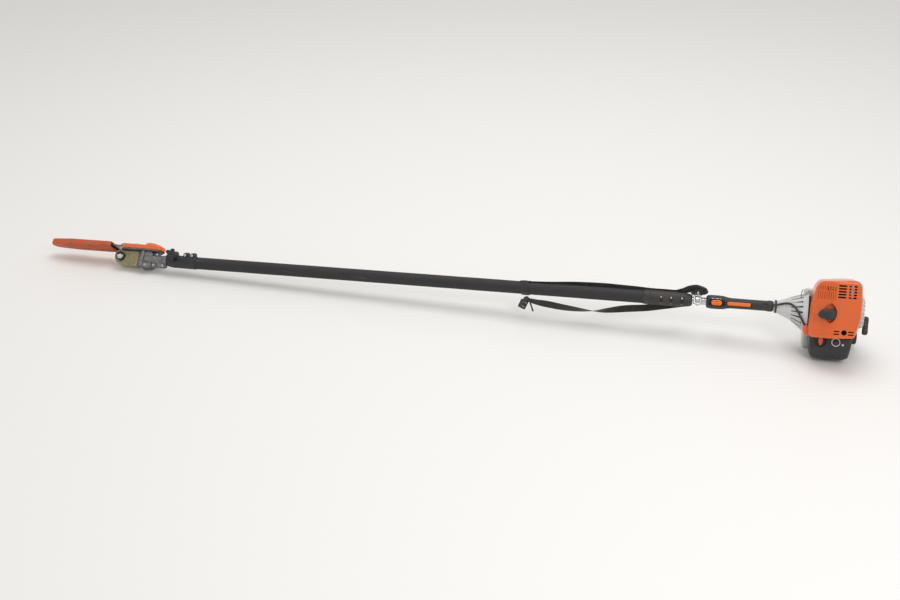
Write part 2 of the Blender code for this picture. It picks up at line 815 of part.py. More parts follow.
def build_intake_side():
    """The black filter cover on the engine's left, with the choke lever and the primer bulb."""
    primer = (2906.0, -100.0)
    choke = (2861.0, -93.0)
    sections = [
        rounded((2826, 2960), -86.0, (-47, 58), 12),
        rounded((2829, 2957), -118.0, (-42, 56), 14),
        rounded((2834, 2952), -146.0, (-27, 46), 15),
        rounded((2842, 2945), -154.0, (-16, 38), 16),
        rounded((2862, 2925), -156.0, (-8, 28), 12),
    ]
    shell = loft("filter_cover", sections, BLACK, pole, closed=True)
    rooms = [
        (-80.0, (2829, 2957), (-44, 55), 10),
        (-118.0, (2832, 2954), (-39, 53), 12),
        (-145.0, (2838, 2948), (-23, 42), 12),
        (-151.0, (2848, 2939), (-12, 34), 12),
    ]
    room = loft("filter_room", [rounded(x, y, z, r) for y, x, z, r in rooms], None, pole)
    choke_well = [
        block("choke_well", (2840, 2882), (-117, -70), (48.5, 70), None, pole),
    ]
    floor = block("choke_floor", (2837, 2885), (-119.5, -86.5), (45.0, 55.6), None, pole)
    boolean(shell, [room])
    boolean(shell, [floor], "UNION")
    boolean(shell, choke_well)
    boolean(shell, [rod("primer_way", 30, 60, 14.4, None, pole, "z", primer, 20)])
    smooth(
        turned(
            "primer_bulb",
            [(42.0, 0.0), (42.0, 14.0), (60.0, 14.0), (60.0, 10.0), (57.0, 9.5), (61.0, 7.5), (63.5, 4.0), (64.0, 0.0)],
            RUBBER,
            pole,
            "z",
            (*primer, 0),
            steps=20,
        )
    )
    lever = plate(
        "choke_lever",
        [(9 * cos(a) if abs(sin(a)) > 0.02 or cos(a) > 0 else -9, 9 * sin(a) - (11 if sin(a) < -0.3 else 0))
         for a in (2 * pi * i / 16 for i in range(16))],
        (-4.0, 4.0),
        ORANGE,
        pole,
    )
    lever.location = Vector((*choke, 53.0)) * MM


def build_fuel_tank():
    """The translucent tank under the engine. Its left side has the slant that the saw lies on."""
    section = [(-131, -52), (-132.6, -61), (-111.8, -110), (-104, -117), (55, -117), (64, -108), (64, -52)]
    tank = plate("fuel_tank", section, (2812.0, 2962.0), FUEL_TANK, pole, "yz")
    bevel(tank, 3.0, 2, 25)
    inner = [(-126, -56), (-127, -62), (-108, -106), (-102, -112), (52, -112), (60, -106), (60, -56)]
    room = plate("tank_room", inner, (2816.0, 2958.0), None, pole, "yz")
    neck = rod("tank_neck", 2957.0, 12.0, 19.0, None, pole, "x", (-90, -82), 20)
    filler = rod("filler_way", 2950.0, 30.0, 15.0, None, pole, "x", (-90, -82), 20)
    boolean(tank, [neck], "UNION")
    boolean(tank, [room, filler])
    smooth(
        turned(
            "fuel_cap",
            [
                (2954.0, 0.0),
                (2954.0, 14.6),
                (2969.3, 14.6),
                (2969.3, 19.4),
                (2963.0, 19.4),
                (2963.0, 23.5),
                (2980.0, 23.5),
                (2986.0, 19.0),
                (2987.5, 0.0),
            ],
            BLACK,
            pole,
            at=(0, -90, -82),
            steps=24,
        )
    )


def build_starter():
    """The recoil starter at the engine's rear."""
    shell = turned(
        "starter_housing",
        [
            (2931.0, 47.0),
            (2931.0, STARTER_R),
            (2984.0, STARTER_R),
            (2990.0, 44.0),
            (2990.0, 0.0),
            (2953.0, 0.0),
            (2953.0, 5.0),
            (2986.5, 5.0),
            (2986.5, 42.0),
            (2982.0, 47.0),
        ],
        HOUSING,
        pole,
    )
    vents = []
    for i in range(9):
        angle = 2 * pi * i / 9 + radians(11)
        place_on = (25.0 * cos(angle), 25.0 * sin(angle))
        vents.append(rod(f"starter_vent_{i}", 2980.0, 20.0, 5.0, None, pole, "x", place_on, 12))
    boolean(shell, [rod("rope_way", 2970, 40, 3.4, None, pole, "x", ROPE, 12)] + vents)
    turned(
        "starter_pulley",
        [(2954.0, 5.4), (2954.0, 38.0), (2956.0, 38.0), (2957.5, 31.0), (2961.5, 31.0), (2963.0, 38.0),
         (2965.0, 38.0), (2965.0, 5.4)],
        BLACK,
        pole,
    )
    tube("starter_rope", (2957.9, 2961.1), 37.0, 31.4, WEBBING, pole)
    tube("rewind_spring", (2967.0, 2975.0), 34.0, 5.4, STEEL, pole)
    bar = [(2995.0, -69.0), (2999.0, -72.0), (3007.0, -72.0), (3011.0, -66.0), (3009.0, -50.0), (3009.0, -32.0),
           (3011.0, -17.0), (3007.0, -11.0), (2999.0, -11.0), (2995.0, -15.0), (2996.0, -34.0), (2996.0, -48.0)]
    grip = plate("starter_grip", bar, (ROPE[1] - 8.0, ROPE[1] + 8.0), BLACK, pole)
    bevel(grip, 4.0, 2, 30)
    boolean(grip, [rod("grip_stem", 2990.5, 8.0, 5.0, None, pole, "x", ROPE, 12)], "UNION")


def handle_sections():
    """The control handle's sections: a bulge for the switch, then a slim grip and a collar."""
    shape = [
        (2491.0, (0, 0), (17.5, 21.0)),
        (2494.0, (0, 1), (21.5, 25.0)),
        (2505.0, (0, 2), (23.0, 27.0)),
        (2548.0, (0, 2), (22.5, 26.5)),
        (2566.0, (0, 2), (18.0, 23.5)),
        (2640.0, (0, 2), (16.8, 22.5)),
        (2688.0, (0, 1), (17.2, 22.0)),
        (2700.0, (0, 1), (18.0, 22.5)),
        (2705.0, (0, 1), (17.8, 22.0)),
        (2708.0, (0, 1), (16.0, 19.5)),
    ]
    return [oval(x, centre, radii, power=2.6, count=20) for x, centre, radii in shape]


def build_handle():
    """The two-part control handle with its stop switch, throttle lockout and trigger."""
    hollows = [
        rod("handle_bore", 2480, 240, DRIVE_TUBE_R + GAP, None, pole, "x", (0, 0), ROUND),
        block("trigger_room", (2499, 2584), (-6.0, 6.0), (-60, -12), None, pole),
        block("switch_room", (2500, 2551), (-9.5, 9.5), (17.0, 60), None, pole),
        block("lockout_room", (2557.5, 2640), (-7.0, 7.0), (13.2, 60), None, pole),
        rod("cable_room", 2660, 60, 5.4, None, pole, "x", (6, 18.4), 12),
    ]
    for name, y in (("handle_right_shell", (0.15, 60)), ("handle_left_shell", (-60, -0.15))):
        shell = loft(name, handle_sections(), RUBBER, pole)
        half = block(name + "_half", (2450, 2750), y, (-60, 60), None, pole)
        boolean(shell, [half], "INTERSECT")
        boolean(shell, hollows)
        smooth(shell, 30)
    switch = block("slide_switch", (2508.0, 2543.0), (-9.0, 9.0), (18.0, 31.5), ORANGE, pole)
    bevel(switch, 4.0, 2)
    lockout = plate(
        "throttle_lockout",
        [(2559, 20.5), (2560, 26.0), (2564, 28.5), (2630, 27.5), (2636, 25.0), (2637, 20.5), (2633, 18.5), (2562, 18.5)],
        (-6.0, 6.0),
        ORANGE,
        pole,
        "xz",
    )
    bevel(lockout, 1.5, 1)
    trigger = plate(
        "throttle_trigger",
        [(2502, -16), (2512, -14.5), (2520, -22), (2572, -26.5), (2578, -31), (2570, -36), (2548, -37), (2528, -33),
         (2508, -28), (2502, -22)],
        (-4.5, 4.5),
        BLACK,
        pole,
        "xz",
    )
    bevel(trigger, 1.5, 1)


def build_throttle_cable():
    """The cable from the handle over the clutch housing and in under the engine cover."""
    radius = 3.4
    route = [(2690.0, 6.0, 18.4), (2701.0, 6.0, 19.6), (2712.0, 7.0, 23.2)]
    for x, y in ((2726, 10), (2742, 15), (2758, 16), (2772, 9), (2784, -6), (2796, -28), (2806, -46)):
        centre, radii = cone_section(x)
        lift = radii[1] * sqrt(max(0.0, 1 - ((y - centre[0]) / radii[0]) ** 2))
        route.append((x, y, centre[1] + lift + radius + 2.8))
    route += [(2816.0, -59.0, 57.5), (2828.0, -62.0, 56.5), (2846.0, -63.0, 57.0), (2862.0, -62.0, 57.0)]
    points = [through(route, i / 30) for i in range(31)]
    swept("throttle_cable", points, radius, RUBBER, pole)


def build_harness():
    """The carrying eyelet on the drive tube, its snap hook, and the webbing strap looped to the hose."""
    eyelet_x, hole_y, wire = 2463.0, 27.0, 2.8
    ring = tube("carrying_eyelet", (eyelet_x - 7, eyelet_x + 7), 15.5, DRIVE_TUBE_R + GAP, STEEL, pole)
    side = [(14.3, -5), (20, -9), (30, -9), (35, -5), (35, 5), (30, 9), (20, 9), (14.3, 5)]
    lug = plate("eyelet_lug", side, (eyelet_x - 2.5, eyelet_x + 2.5), None, pole, "yz")
    boolean(ring, [lug], "UNION")
    boolean(ring, [rod("eyelet_hole", eyelet_x - 15, 30, 5.2, None, pole, "x", (hole_y, 0), 16)])

    lean = Vector((0.0, -0.68, 0.733))  # the hook lies over the tube, towards the tool's top
    start = Vector((eyelet_x, hole_y, 0.0))

    def on_hook(across, down):
        return start + Vector((across, 0.0, 0.0)) + lean * down

    bend = [on_hook(-10 * sin(a), 10 - 10 * cos(a)) for a in (pi * i / 8 for i in range(-3, 5))]
    far = [on_hook(-10 * cos(a), 42 + 10 * sin(a)) for a in (pi * i / 8 for i in range(9))]
    swept("snap_hook", [on_hook(10, 13.0)] + bend + far, wire, STEEL, pole, 1)
    swept("snap_hook_gate", [on_hook(10, 17.2), on_hook(10, 38.0)], wire - 0.5, STEEL, pole, 1)

    width, thick = 28.0, 2.0
    down = Vector((0.0, -sin(POLE_ROLL), -cos(POLE_ROLL)))
    across = Vector((0.0, cos(POLE_ROLL), -sin(POLE_ROLL)))

    def leaning(x, radius, turn, share):
        """A place where the strap touches the hose at a turn behind its right side, and stands up by a share."""
        outward = Vector((0.0, cos(turn), -sin(turn)))
        upward = Vector((0.0, sin(turn), cos(turn)))
        return Vector((x, 0.0, 0.0)) + outward * radius + upward * width / 2 * share, upward

    upper = [((1868.0, 25.2, 0.0), (0.0, 0.0, 1.0))] + [
        leaning(x, radius, radians(turn), share)
        for x, radius, turn, share in (
            (1900, 25.6, 0, 0.0), (1970, 25.0, 22, 0.3), (2050, 24.6, 48, 0.75), (2140, 24.6, 58, 1.0),
            (2210, 25.0, 48, 0.8), (2262, 28.0, 24, 0.3), (2305, 30.5, 0, 0.0), (2350, 29.0, 0, 0.0),
            (2420, 29.0, 0, 0.0), (2441, 33.0, 0, 0.0),
        )
    ]
    strap = ribbon("strap_upper", upper, width, thick, 22, WEBBING, pole)
    wrap_profile = [
        (1858.0, HOSE_R + GAP), (1858.0, HOSE_R + 4.0), (1886.0, HOSE_R + 4.0), (1886.0, HOSE_R + GAP),
    ]
    boolean(strap, [turned("strap_wrap", wrap_profile, None, pole, steps=24)], "UNION")

    def hanging(x, drop, twist, aside=-4.0):
        """A place on the hanging run, and its width's direction at a twist from level."""
        place_on = Vector((x, 0, 0)) + down * (30.0 + drop) + across * aside
        return place_on, across * cos(twist) + down * sin(twist)

    lower = [
        hanging(x, drop, radians(twist), aside)
        for x, drop, twist, aside in (
            (1884, 15, 62, -4), (1915, 21, 75, -4), (1953, 26, 92, -4), (2015, 34, 80, -4), (2080, 38, 50, -4),
            (2120, 38, 20, -3), (2160, 33, -12, -2), (2221, 23, -38, 2), (2295, 17, -35, 8), (2345, 14, -35, 16),
            (2392, 14, -45, 26), (2436, 4, -45, 32),
        )
    ]
    ribbon("strap_lower", lower, width - 2, thick, 24, WEBBING, pole)
    place_on, _ = hanging(1857, 22, 0)
    turn = Matrix.Rotation(POLE_ROLL * -1, 4, "X") @ Matrix.Rotation(radians(24), 4, "Y")
    buckle = block("strap_buckle", (-12, 12), (-3.5, 3.5), (-17, 17), BLACK, pole)
    buckle.matrix_basis = Matrix.Translation(place_on * MM) @ turn


def build_gear_head():
    """The cast gearbox on the inner tube, with its bevel gears, shafts and bearings."""
    case = block("gear_housing", (388.0, 441.0), (-34.0, 29.5), (-30.0, 19.0), CASTING, head)
    bevel(case, 5.0, 2)
    neck = rod("neck", 434.0, 66.0, 17.8, None, head, "x", (0, 0), ROUND)
    pad = plate("bar_side", belt([(331.0, 29.5), (440.0, 29.5)], count=18), (28.5, 32.6), None, head, "xz")
    lower_lug = block("lower_lug", (438.0, 500.0), (-29.0, -8.0), (-8.5, 8.5), None, head)
    upper_lug = block("upper_lug", (420.0, 464.0), (8.0, 25.0), (-8.5, 8.5), None, head)
    rib = block("cast_rib", (396.0, 409.0), (-33.0, 30.5), (10.0, 24.0), None, head)
    bar_seat = block("bar_seat", (330.0, 386.0), (30.0, BAR_Y - BAR_THICK / 2 - GAP), (-8.0, 8.0), None, head)
    shaft_boss = rod("shaft_boss", 27.0, 7.0, 15.0, None, head, "y", (GEAR_X, 0), 20)
    boolean(case, [neck, pad, lower_lug, upper_lug, rib, bar_seat, shaft_boss], "UNION")
    rooms = [
        rod("tube_socket", INNER_TUBE_X[0] - GAP, 100, INNER_TUBE_R + GAP, None, head, "x", (0, 0), ROUND),
        rod("pinion_room", GEAR_X, 40, PINION_R + 1.2, None, head, "x", (0, 0), 20),
        rod("gear_room", -22.0, 24, GEAR_R + 1.3, None, head, "y", (GEAR_X, 0), 20),
        rod("shaft_way", -31.0, 80, 6.4, None, head, "y", (GEAR_X, 0), 16),
        rod("inner_seat", -30.5, 9, 9.5, None, head, "y", (GEAR_X, 0), 20),
        rod("outer_seat", 19.0, 30, 11.3, None, head, "y", (GEAR_X, 0), 20),
    ]
    boolean(case, rooms)
    boolean(case, [rod("bar_stud", 29.0, 34.0, 4.0, None, head, "y", (358.0, 0), 12)], "UNION")
    smooth(case, 25)
    turned(
        "bevel_gear",
        [(-20.5, 5.3), (-20.5, 13.0), (-14.0, 16.3), (-11.8, 16.3), (-6.8, 9.0), (-6.8, 5.3)],
        STEEL,
        head,
        "y",
        (GEAR_X, 0, 0),
        steps=24,
    )
    smooth(rod("output_shaft", -29.5, 76.0, 5.0, STEEL, head, "y", (GEAR_X, 0), 16))
    turned("output_bearing", [(19.5, 5.3), (19.5, 11.0), (28.0, 11.0), (28.0, 5.3)], STEEL, head, "y",
           (GEAR_X, 0, 0), steps=20)


def build_oil_tank():
    """The chain oil tank in front of the gearbox, and its screw cap."""
    side = [(282, -6), (282, 16), (293, 27.5), (384, 27.5), (384, -26), (378, -31), (326, -31), (298, -25)]
    cap_x = 313.0
    tank = plate("oil_tank", side, (-26.0, 15.0), OIL_TANK, head)
    bevel(tank, 5.0, 2)
    room = plate("oil_room", inset(side, 4.5), (-22.0, 11.0), None, head)
    boolean(tank, [rod("oil_neck", 10.0, 10.0, 13.0, None, head, "z", (cap_x, 0), 20)], "UNION")
    boolean(tank, [room, rod("oil_filler", 5.0, 30.0, 10.0, None, head, "z", (cap_x, 0), 20)])
    profile = [
        (8.0, 0.0), (8.0, 9.6), (20.3, 9.6), (20.3, 13.4), (15.6, 13.4), (15.6, 17.5), (27.0, 17.5),
        (29.0, 15.5), (29.0, 13.5), (25.0, 12.5), (25.0, 0.0),
    ]
    cap = turned("oil_cap", profile, BLACK, head, "z", (cap_x, 0, 0), steps=24)
    wing = block("cap_wing", (cap_x - 13.5, cap_x + 13.5), (-2.2, 2.2), (24.0, 29.0), None, head)
    smooth(boolean(cap, [wing], "UNION"))


def build_cutter():
    """The guide bar, its chain and sprocket, the cover that clamps it, and the chain guard."""
    front, back = BAR_Y - CHAIN_THICK / 2, BAR_Y + CHAIN_THICK / 2
    bar_outline = cut_behind(belt(TRACK, -0.5), 386.0)
    slot = [(344.0, -4.3), (372.0, -4.3), (372.0, 4.3), (344.0, 4.3)]
    plate("guide_bar", bar_outline, (BAR_Y - 1, BAR_Y + 1), STEEL, head, "xz", holes=[slot[::-1]])
    plate("saw_chain", belt(TRACK, CHAIN_HEIGHT), (front, back), STEEL, head, "xz", holes=[belt(TRACK, 0.4)[::-1]])
    wheel = plate("drive_sprocket", star((GEAR_X, 0), SPROCKET_R - 3.5, SPROCKET_R - 0.4, 7), (36.0, 44.0), STEEL,
                  head, "xz", holes=[circle((GEAR_X, 0), 5.3, 16)[::-1]])
    smooth(wheel)

    outline = belt([(329.0, 33.0), (425.0, 33.0), (448.0, 28.0)], count=24)
    inner = belt([(329.0, 30.5), (425.0, 30.5), (448.0, 25.5)], count=24)
    cover = plate("sprocket_cover", outline, (32.6 + GAP, 49.5), ORANGE, head, "xz")
    dome = loft(
        "cover_dome",
        [
            dome_section(46.0, 395.0, 474.0, 30.0),
            dome_section(54.0, 398.0, 466.0, 27.0),
            dome_section(60.0, 403.0, 452.0, 21.0),
            dome_section(63.5, 411.0, 436.0, 11.0),
        ],
        None,
        head,
    )
    boolean(cover, [dome], "UNION")
    room = plate("cover_room", inner, (20.0, 47.0), None, head, "xz")
    dome_room = loft(
        "dome_room",
        [
            dome_section(40.0, 399.0, 470.0, 26.0),
            dome_section(52.0, 401.5, 461.0, 23.5),
            dome_section(57.5, 407.0, 446.0, 17.0),
        ],
        None,
        head,
    )
    mouth = block("chain_mouth", (280.0, 317.0), (20.0, 47.0), (-31.0, 31.0), None, head)
    stud_way = rod("stud_way", 40.0, 30, 4.4, None, head, "y", (358.0, 0), 12)
    clamp_boss = rod("clamp_boss", BAR_Y + 1 + GAP, 6.0, 8.0, None, head, "y", (358.0, 0), 16)
    boolean(cover, [room, dome_room, mouth])
    boolean(cover, [clamp_boss], "UNION")
    boolean(cover, [stud_way])
    smooth(cover, 30)
    plate("bar_nut", circle((358.0, 0), 9.0, 6), (49.5 + GAP, 58.0), STEEL, head, "xz",
          holes=[circle((358.0, 0), 4.3, 12)[::-1]])

    guard_shape = [(26.0, 25.5), (105.0, 36.5), (320.0, 36.5)]
    mouth_x = 269.0
    guard = plate("chain_guard", cut_behind(belt(guard_shape, count=18), mouth_x), (BAR_Y - 10.5, BAR_Y + 10.5),
                  ORANGE, head, "xz")
    bevel(guard, 3.5, 2)
    guard_room = plate("guard_room", belt(guard_shape, -2.5, 24), (BAR_Y - 8, BAR_Y + 8), None, head, "xz")
    boolean(guard, [guard_room])


def dome_section(y, low, high, half):
    """A rounded section of the sprocket cover's bulge, steep in front and drawn out behind."""
    middle = (low + high) / 2
    points = []
    for i in range(24):
        a = 2 * pi * i / 24
        points.append((middle + (high - low) / 2 * cos(a), y, half * sin(a) * (1 - 0.12 * cos(a))))
    return points


build_telescope()
build_front_clamp()
build_joiner()
build_drive()
build_clutch_housing()
build_clutch_and_crank()
build_engine()
build_shroud()
build_intake_side()
build_fuel_tank()
build_starter()
build_handle()
build_throttle_cable()
build_harness()
build_gear_head()
build_oil_tank()
build_cutter()
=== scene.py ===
from math import cos, pi, radians, sin

import bmesh
import bpy
import numpy as np
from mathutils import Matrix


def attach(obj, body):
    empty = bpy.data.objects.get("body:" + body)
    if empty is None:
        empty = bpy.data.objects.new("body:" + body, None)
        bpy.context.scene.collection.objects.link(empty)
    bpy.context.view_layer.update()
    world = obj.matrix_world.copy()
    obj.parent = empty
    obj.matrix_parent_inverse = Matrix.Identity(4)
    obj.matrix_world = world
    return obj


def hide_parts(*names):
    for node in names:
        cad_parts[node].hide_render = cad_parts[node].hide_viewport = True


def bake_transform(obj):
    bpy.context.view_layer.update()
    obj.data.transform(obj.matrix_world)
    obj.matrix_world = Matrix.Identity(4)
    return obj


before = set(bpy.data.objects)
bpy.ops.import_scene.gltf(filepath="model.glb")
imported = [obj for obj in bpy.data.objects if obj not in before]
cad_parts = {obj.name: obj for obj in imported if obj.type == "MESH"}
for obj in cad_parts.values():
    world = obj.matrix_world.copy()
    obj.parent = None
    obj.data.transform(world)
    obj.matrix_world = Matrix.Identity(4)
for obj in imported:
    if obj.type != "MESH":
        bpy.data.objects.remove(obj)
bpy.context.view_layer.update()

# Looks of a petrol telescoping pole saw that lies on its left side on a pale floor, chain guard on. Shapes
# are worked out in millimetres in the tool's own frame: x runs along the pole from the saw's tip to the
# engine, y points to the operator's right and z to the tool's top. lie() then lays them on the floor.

# Camera: a person standing well back from the middle of the saw, looking a little down.
camera = bpy.data.objects.new("camera", bpy.data.cameras.new("camera"))
bpy.context.scene.collection.objects.link(camera)
camera.location = (0.935, -3.3635, 1.8824)
camera.rotation_euler = (radians(61.855), 0, radians(13.969))
camera.data.lens = 44
camera.data.sensor_width = 36
bpy.context.scene.camera = camera

# Floor and light: a plain pale floor, an even pale surround and two large soft lamps.
FLOOR_HALF = 14.0
floor_mesh = bpy.data.meshes.new("floor")
floor_corners = [(FLOOR_HALF * a, FLOOR_HALF * b, 0) for a, b in ((-1, -1), (1, -1), (1, 1), (-1, 1))]
floor_mesh.from_pydata(floor_corners, [], [(0, 1, 2, 3)])
floor = bpy.data.objects.new("floor", floor_mesh)
bpy.context.scene.collection.objects.link(floor)
paint = bpy.data.materials.new("floor_paint")
paint.use_nodes = True
paint.node_tree.nodes["Principled BSDF"].inputs["Base Color"].default_value = (0.88, 0.868, 0.85, 1)
paint.node_tree.nodes["Principled BSDF"].inputs["Roughness"].default_value = 0.55
floor_mesh.materials.append(paint)

world = bpy.data.worlds.new("surround")
bpy.context.scene.world = world
world.use_nodes = True
world.node_tree.nodes["Background"].inputs["Color"].default_value = (1.0, 0.985, 0.965, 1)
world.node_tree.nodes["Background"].inputs["Strength"].default_value = 0.66
bpy.context.scene.view_settings.view_transform = "Standard"

for name, place, turn, size, power in (
    ("ceiling_lamp", (0.3, 1.0, 5.0), (radians(-8), 0, 0), 3.4, 98),
    ("side_lamp", (2.6, -2.4, 2.6), (radians(48), 0, radians(46)), 1.2, 30),
):
    lamp = bpy.data.objects.new(name, bpy.data.lights.new(name, "AREA"))
    bpy.context.scene.collection.objects.link(lamp)
    lamp.location, lamp.rotation_euler = place, turn
    lamp.data.size, lamp.data.energy = size, power

# --------------------------------------------------------------------------------------------------
# Throttle cable: a rubber-sheathed Bowden cable of 6.8 mm, about 0.22 m of it in the open. It leaves the
# handle's collar, arches over the clutch housing and goes in under the engine cover at an orange guide.
MM = 0.001
PITCH = radians(2.43)
POLE_ROLL = radians(67.0)
HEAD_ROLL = radians(44.5)
HEAD_BODIES = ("cutting_head", "oil_filler_cap", "guard")
REST = (-1.5049, 0.0103, 0.0266)
CABLE_R = 3.4
CABLE_ROUTE = [
    (2690.0, 6.0, 18.4), (2701.0, 6.0, 19.6), (2712.0, 7.0, 23.2), (2726, 10, 25.4), (2742, 15, 31.5),
    (2758, 16, 41.6), (2772, 9, 52.0), (2784, -6, 59.7), (2796, -28, 63.0), (2806, -46, 61.7),
    (2816.0, -59.0, 57.5), (2828.0, -62.0, 56.5), (2846.0, -63.0, 57.0), (2862.0, -62.0, 57.0),
]


def lie(points, roll=POLE_ROLL):
    """Tool frame to the floor: turned about the pole by the roll, raised by the pitch, then moved to
    rest."""
    x, y, z = np.moveaxis(np.asarray(points, float), -1, 0)
    y, z = y * cos(roll) - z * sin(roll), y * sin(roll) + z * cos(roll)
    x, z = x * cos(PITCH) - z * sin(PITCH), x * sin(PITCH) + z * cos(PITCH)
    return np.stack([x, y, z], -1) * MM + REST


def flow(points, count):
    """Catmull-Rom: a cubic between two points, whose end slopes are half their neighbours' gap."""
    p = np.asarray(points, float)
    s = np.linspace(0, len(p) - 1, count)
    i = np.minimum(s.astype(int), len(p) - 2)
    t = (s - i).reshape(-1, *[1] * (p.ndim - 1))
    a, b, c, d = (p[np.clip(i + k, 0, len(p) - 1)] for k in (-1, 0, 1, 2))
    return 0.5 * (2 * b + (c - a) * t + (2 * a - 5 * b + 4 * c - d) * t**2 + (3 * b - a - 3 * c + d) * t**3)


def node_group(name, inputs, outputs):
    """A new shader group with those sockets, as (tree, its input node, its output node)."""
    tree = bpy.data.node_groups.new(name, "ShaderNodeTree")
    for label, kind, value in inputs:
        socket = tree.interface.new_socket(label, in_out="INPUT", socket_type="NodeSocket" + kind)
        if value is not None:
            socket.default_value = value
    for label, kind in outputs:
        tree.interface.new_socket(label, in_out="OUTPUT", socket_type="NodeSocket" + kind)
    return tree, tree.nodes.new("NodeGroupInput"), tree.nodes.new("NodeGroupOutput")


def add(tree, kind, links=None, **settings):
    """A node with its settings, and its sockets set to values or linked from other sockets."""
    node = tree.nodes.new("ShaderNode" + kind)
    for key, value in settings.items():
        setattr(node, key, value)
    for key, value in (links or {}).items():
        if isinstance(value, bpy.types.NodeSocket):
            tree.links.new(value, node.inputs[key])
        else:
            node.inputs[key].default_value = value
    return node


# Dust: pale dirt that gathers in soft blotches over a colour, and dulls it.
dust, dust_in, dust_out = node_group(
    "dust",
    [("Vector", "Vector", None), ("Colour", "Color", None), ("Dirt", "Color", None), ("Scale", "Float", 30.0),
     ("Amount", "Float", 0.3), ("Roughness", "Float", 0.5)],
    [("Colour", "Color"), ("Roughness", "Float")],
)
blotches = add(dust, "TexNoise", {"Vector": dust_in.outputs["Vector"], "Scale": dust_in.outputs["Scale"],
                                  "Detail": 7.0, "Roughness": 0.62})
cover = add(dust, "MapRange", {"Value": blotches.outputs[0], "From Min": 0.40, "From Max": 0.72})
share = add(dust, "Math", {0: cover.outputs[0], 1: dust_in.outputs["Amount"]}, operation="MULTIPLY")
toned = add(dust, "Mix", {0: share.outputs[0], 6: dust_in.outputs["Colour"], 7: dust_in.outputs["Dirt"]},
            data_type="RGBA")
dulled = add(dust, "Math", {0: share.outputs[0], 1: 0.45, 2: dust_in.outputs["Roughness"]},
             operation="MULTIPLY_ADD", use_clamp=True)
dust.links.new(toned.outputs[2], dust_out.inputs["Colour"])
dust.links.new(dulled.outputs[0], dust_out.inputs["Roughness"])

# Grain: the fine skin of a moulding or casting, as a height.
grain, grain_in, grain_out = node_group(
    "grain", [("Vector", "Vector", None), ("Scale", "Float", 900.0)], [("Height", "Float")]
)
fine = add(grain, "TexNoise", {"Vector": grain_in.outputs["Vector"], "Scale": grain_in.outputs["Scale"],
                               "Detail": 3.0, "Roughness": 0.6})
cells = add(grain, "TexVoronoi", {"Vector": grain_in.outputs["Vector"], "Scale": grain_in.outputs["Scale"]})
both = add(grain, "Math", {0: fine.outputs[0], 1: cells.outputs["Distance"]}, operation="ADD")
grain.links.new(both.outputs[0], grain_out.inputs["Height"])

# Scratches: thin worn lines along x, as a mask.
scratches, scratch_in, scratch_out = node_group(
    "scratches", [("Vector", "Vector", None), ("Scale", "Float", 60.0), ("Cover", "Float", 0.5)],
    [("Mask", "Float")],
)
drawn_out = add(scratches, "Mapping", {"Vector": scratch_in.outputs["Vector"], "Scale": (0.12, 1.0, 1.0)})
streaks = add(scratches, "TexNoise", {"Vector": drawn_out.outputs[0], "Scale": scratch_in.outputs["Scale"],
                                      "Detail": 9.0, "Roughness": 0.72})
limit = add(scratches, "Math", {0: 1.0, 1: scratch_in.outputs["Cover"]}, operation="SUBTRACT")
worn = add(scratches, "MapRange", {"Value": streaks.outputs[0], "From Min": limit.outputs[0], "From Max": 1.0,
                                   "To Max": 3.0})
scratches.links.new(worn.outputs[0], scratch_out.inputs["Mask"])


def group_node(tree, group, links):
    """A shader group used in a material, its sockets set or linked."""
    return add(tree, "Group", links, node_tree=group)


def finish(name, colour, roughness, dirt=(0.30, 0.26, 0.21), amount=0.15, scale=25.0, metallic=0.0,
           skin_scale=900.0, skin_depth=0.05, streak=None, **sockets):
    """A moulding, casting or metal: its colour with dust in blotches, a fine skin and worn streaks."""
    material = bpy.data.materials.new(name)
    material.use_nodes = True
    tree = material.node_tree
    shader = tree.nodes["Principled BSDF"]
    where = add(tree, "TexCoord").outputs["Object"]
    base = (*colour, 1.0)
    if streak:
        mask = group_node(tree, scratches, {"Vector": where, "Scale": streak[1], "Cover": streak[2]})
        base = add(tree, "Mix", {0: mask.outputs[0], 6: base, 7: (*streak[0], 1.0)},
                   data_type="RGBA").outputs[2]
    dusty = group_node(tree, dust, {"Vector": where, "Colour": base, "Dirt": (*dirt, 1.0), "Scale": scale,
                                    "Amount": amount, "Roughness": roughness})
    tree.links.new(dusty.outputs["Colour"], shader.inputs["Base Color"])
    tree.links.new(dusty.outputs["Roughness"], shader.inputs["Roughness"])
    shader.inputs["Metallic"].default_value = metallic
    for key, value in sockets.items():
        shader.inputs[key.replace("_", " ")].default_value = value
    if skin_depth:
        height = group_node(tree, grain, {"Vector": where, "Scale": skin_scale}).outputs["Height"]
        bump = add(tree, "Bump", {"Height": height, "Strength": skin_depth, "Distance": 0.001})
        tree.links.new(bump.outputs[0], shader.inputs["Normal"])
    return material


RUBBER = finish("cable_rubber", (0.018, 0.018, 0.020), 0.42, amount=0.10, scale=60.0, skin_depth=0.03)


def line(name, points, radius, material, body, count=60, sides=4):
    """A round cord or wire as a curve through the points."""
    curve = bpy.data.curves.new(name, "CURVE")
    curve.dimensions = "3D"
    curve.bevel_depth = radius * MM
    curve.bevel_resolution = sides
    curve.use_fill_caps = True
    spline = curve.splines.new("POLY")
    places = lie(flow(points, count))
    spline.points.add(count - 1)
    spline.points.foreach_set("co", np.c_[places, np.ones(count)].ravel())
    curve.materials.append(material)
    piece = bpy.data.objects.new(name, curve)
    bpy.context.scene.collection.objects.link(piece)
    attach(piece, body)
    return piece


cable = line("throttle_cable_sheath", CABLE_ROUTE, CABLE_R, RUBBER, "powerhead")
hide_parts("throttle_cable")

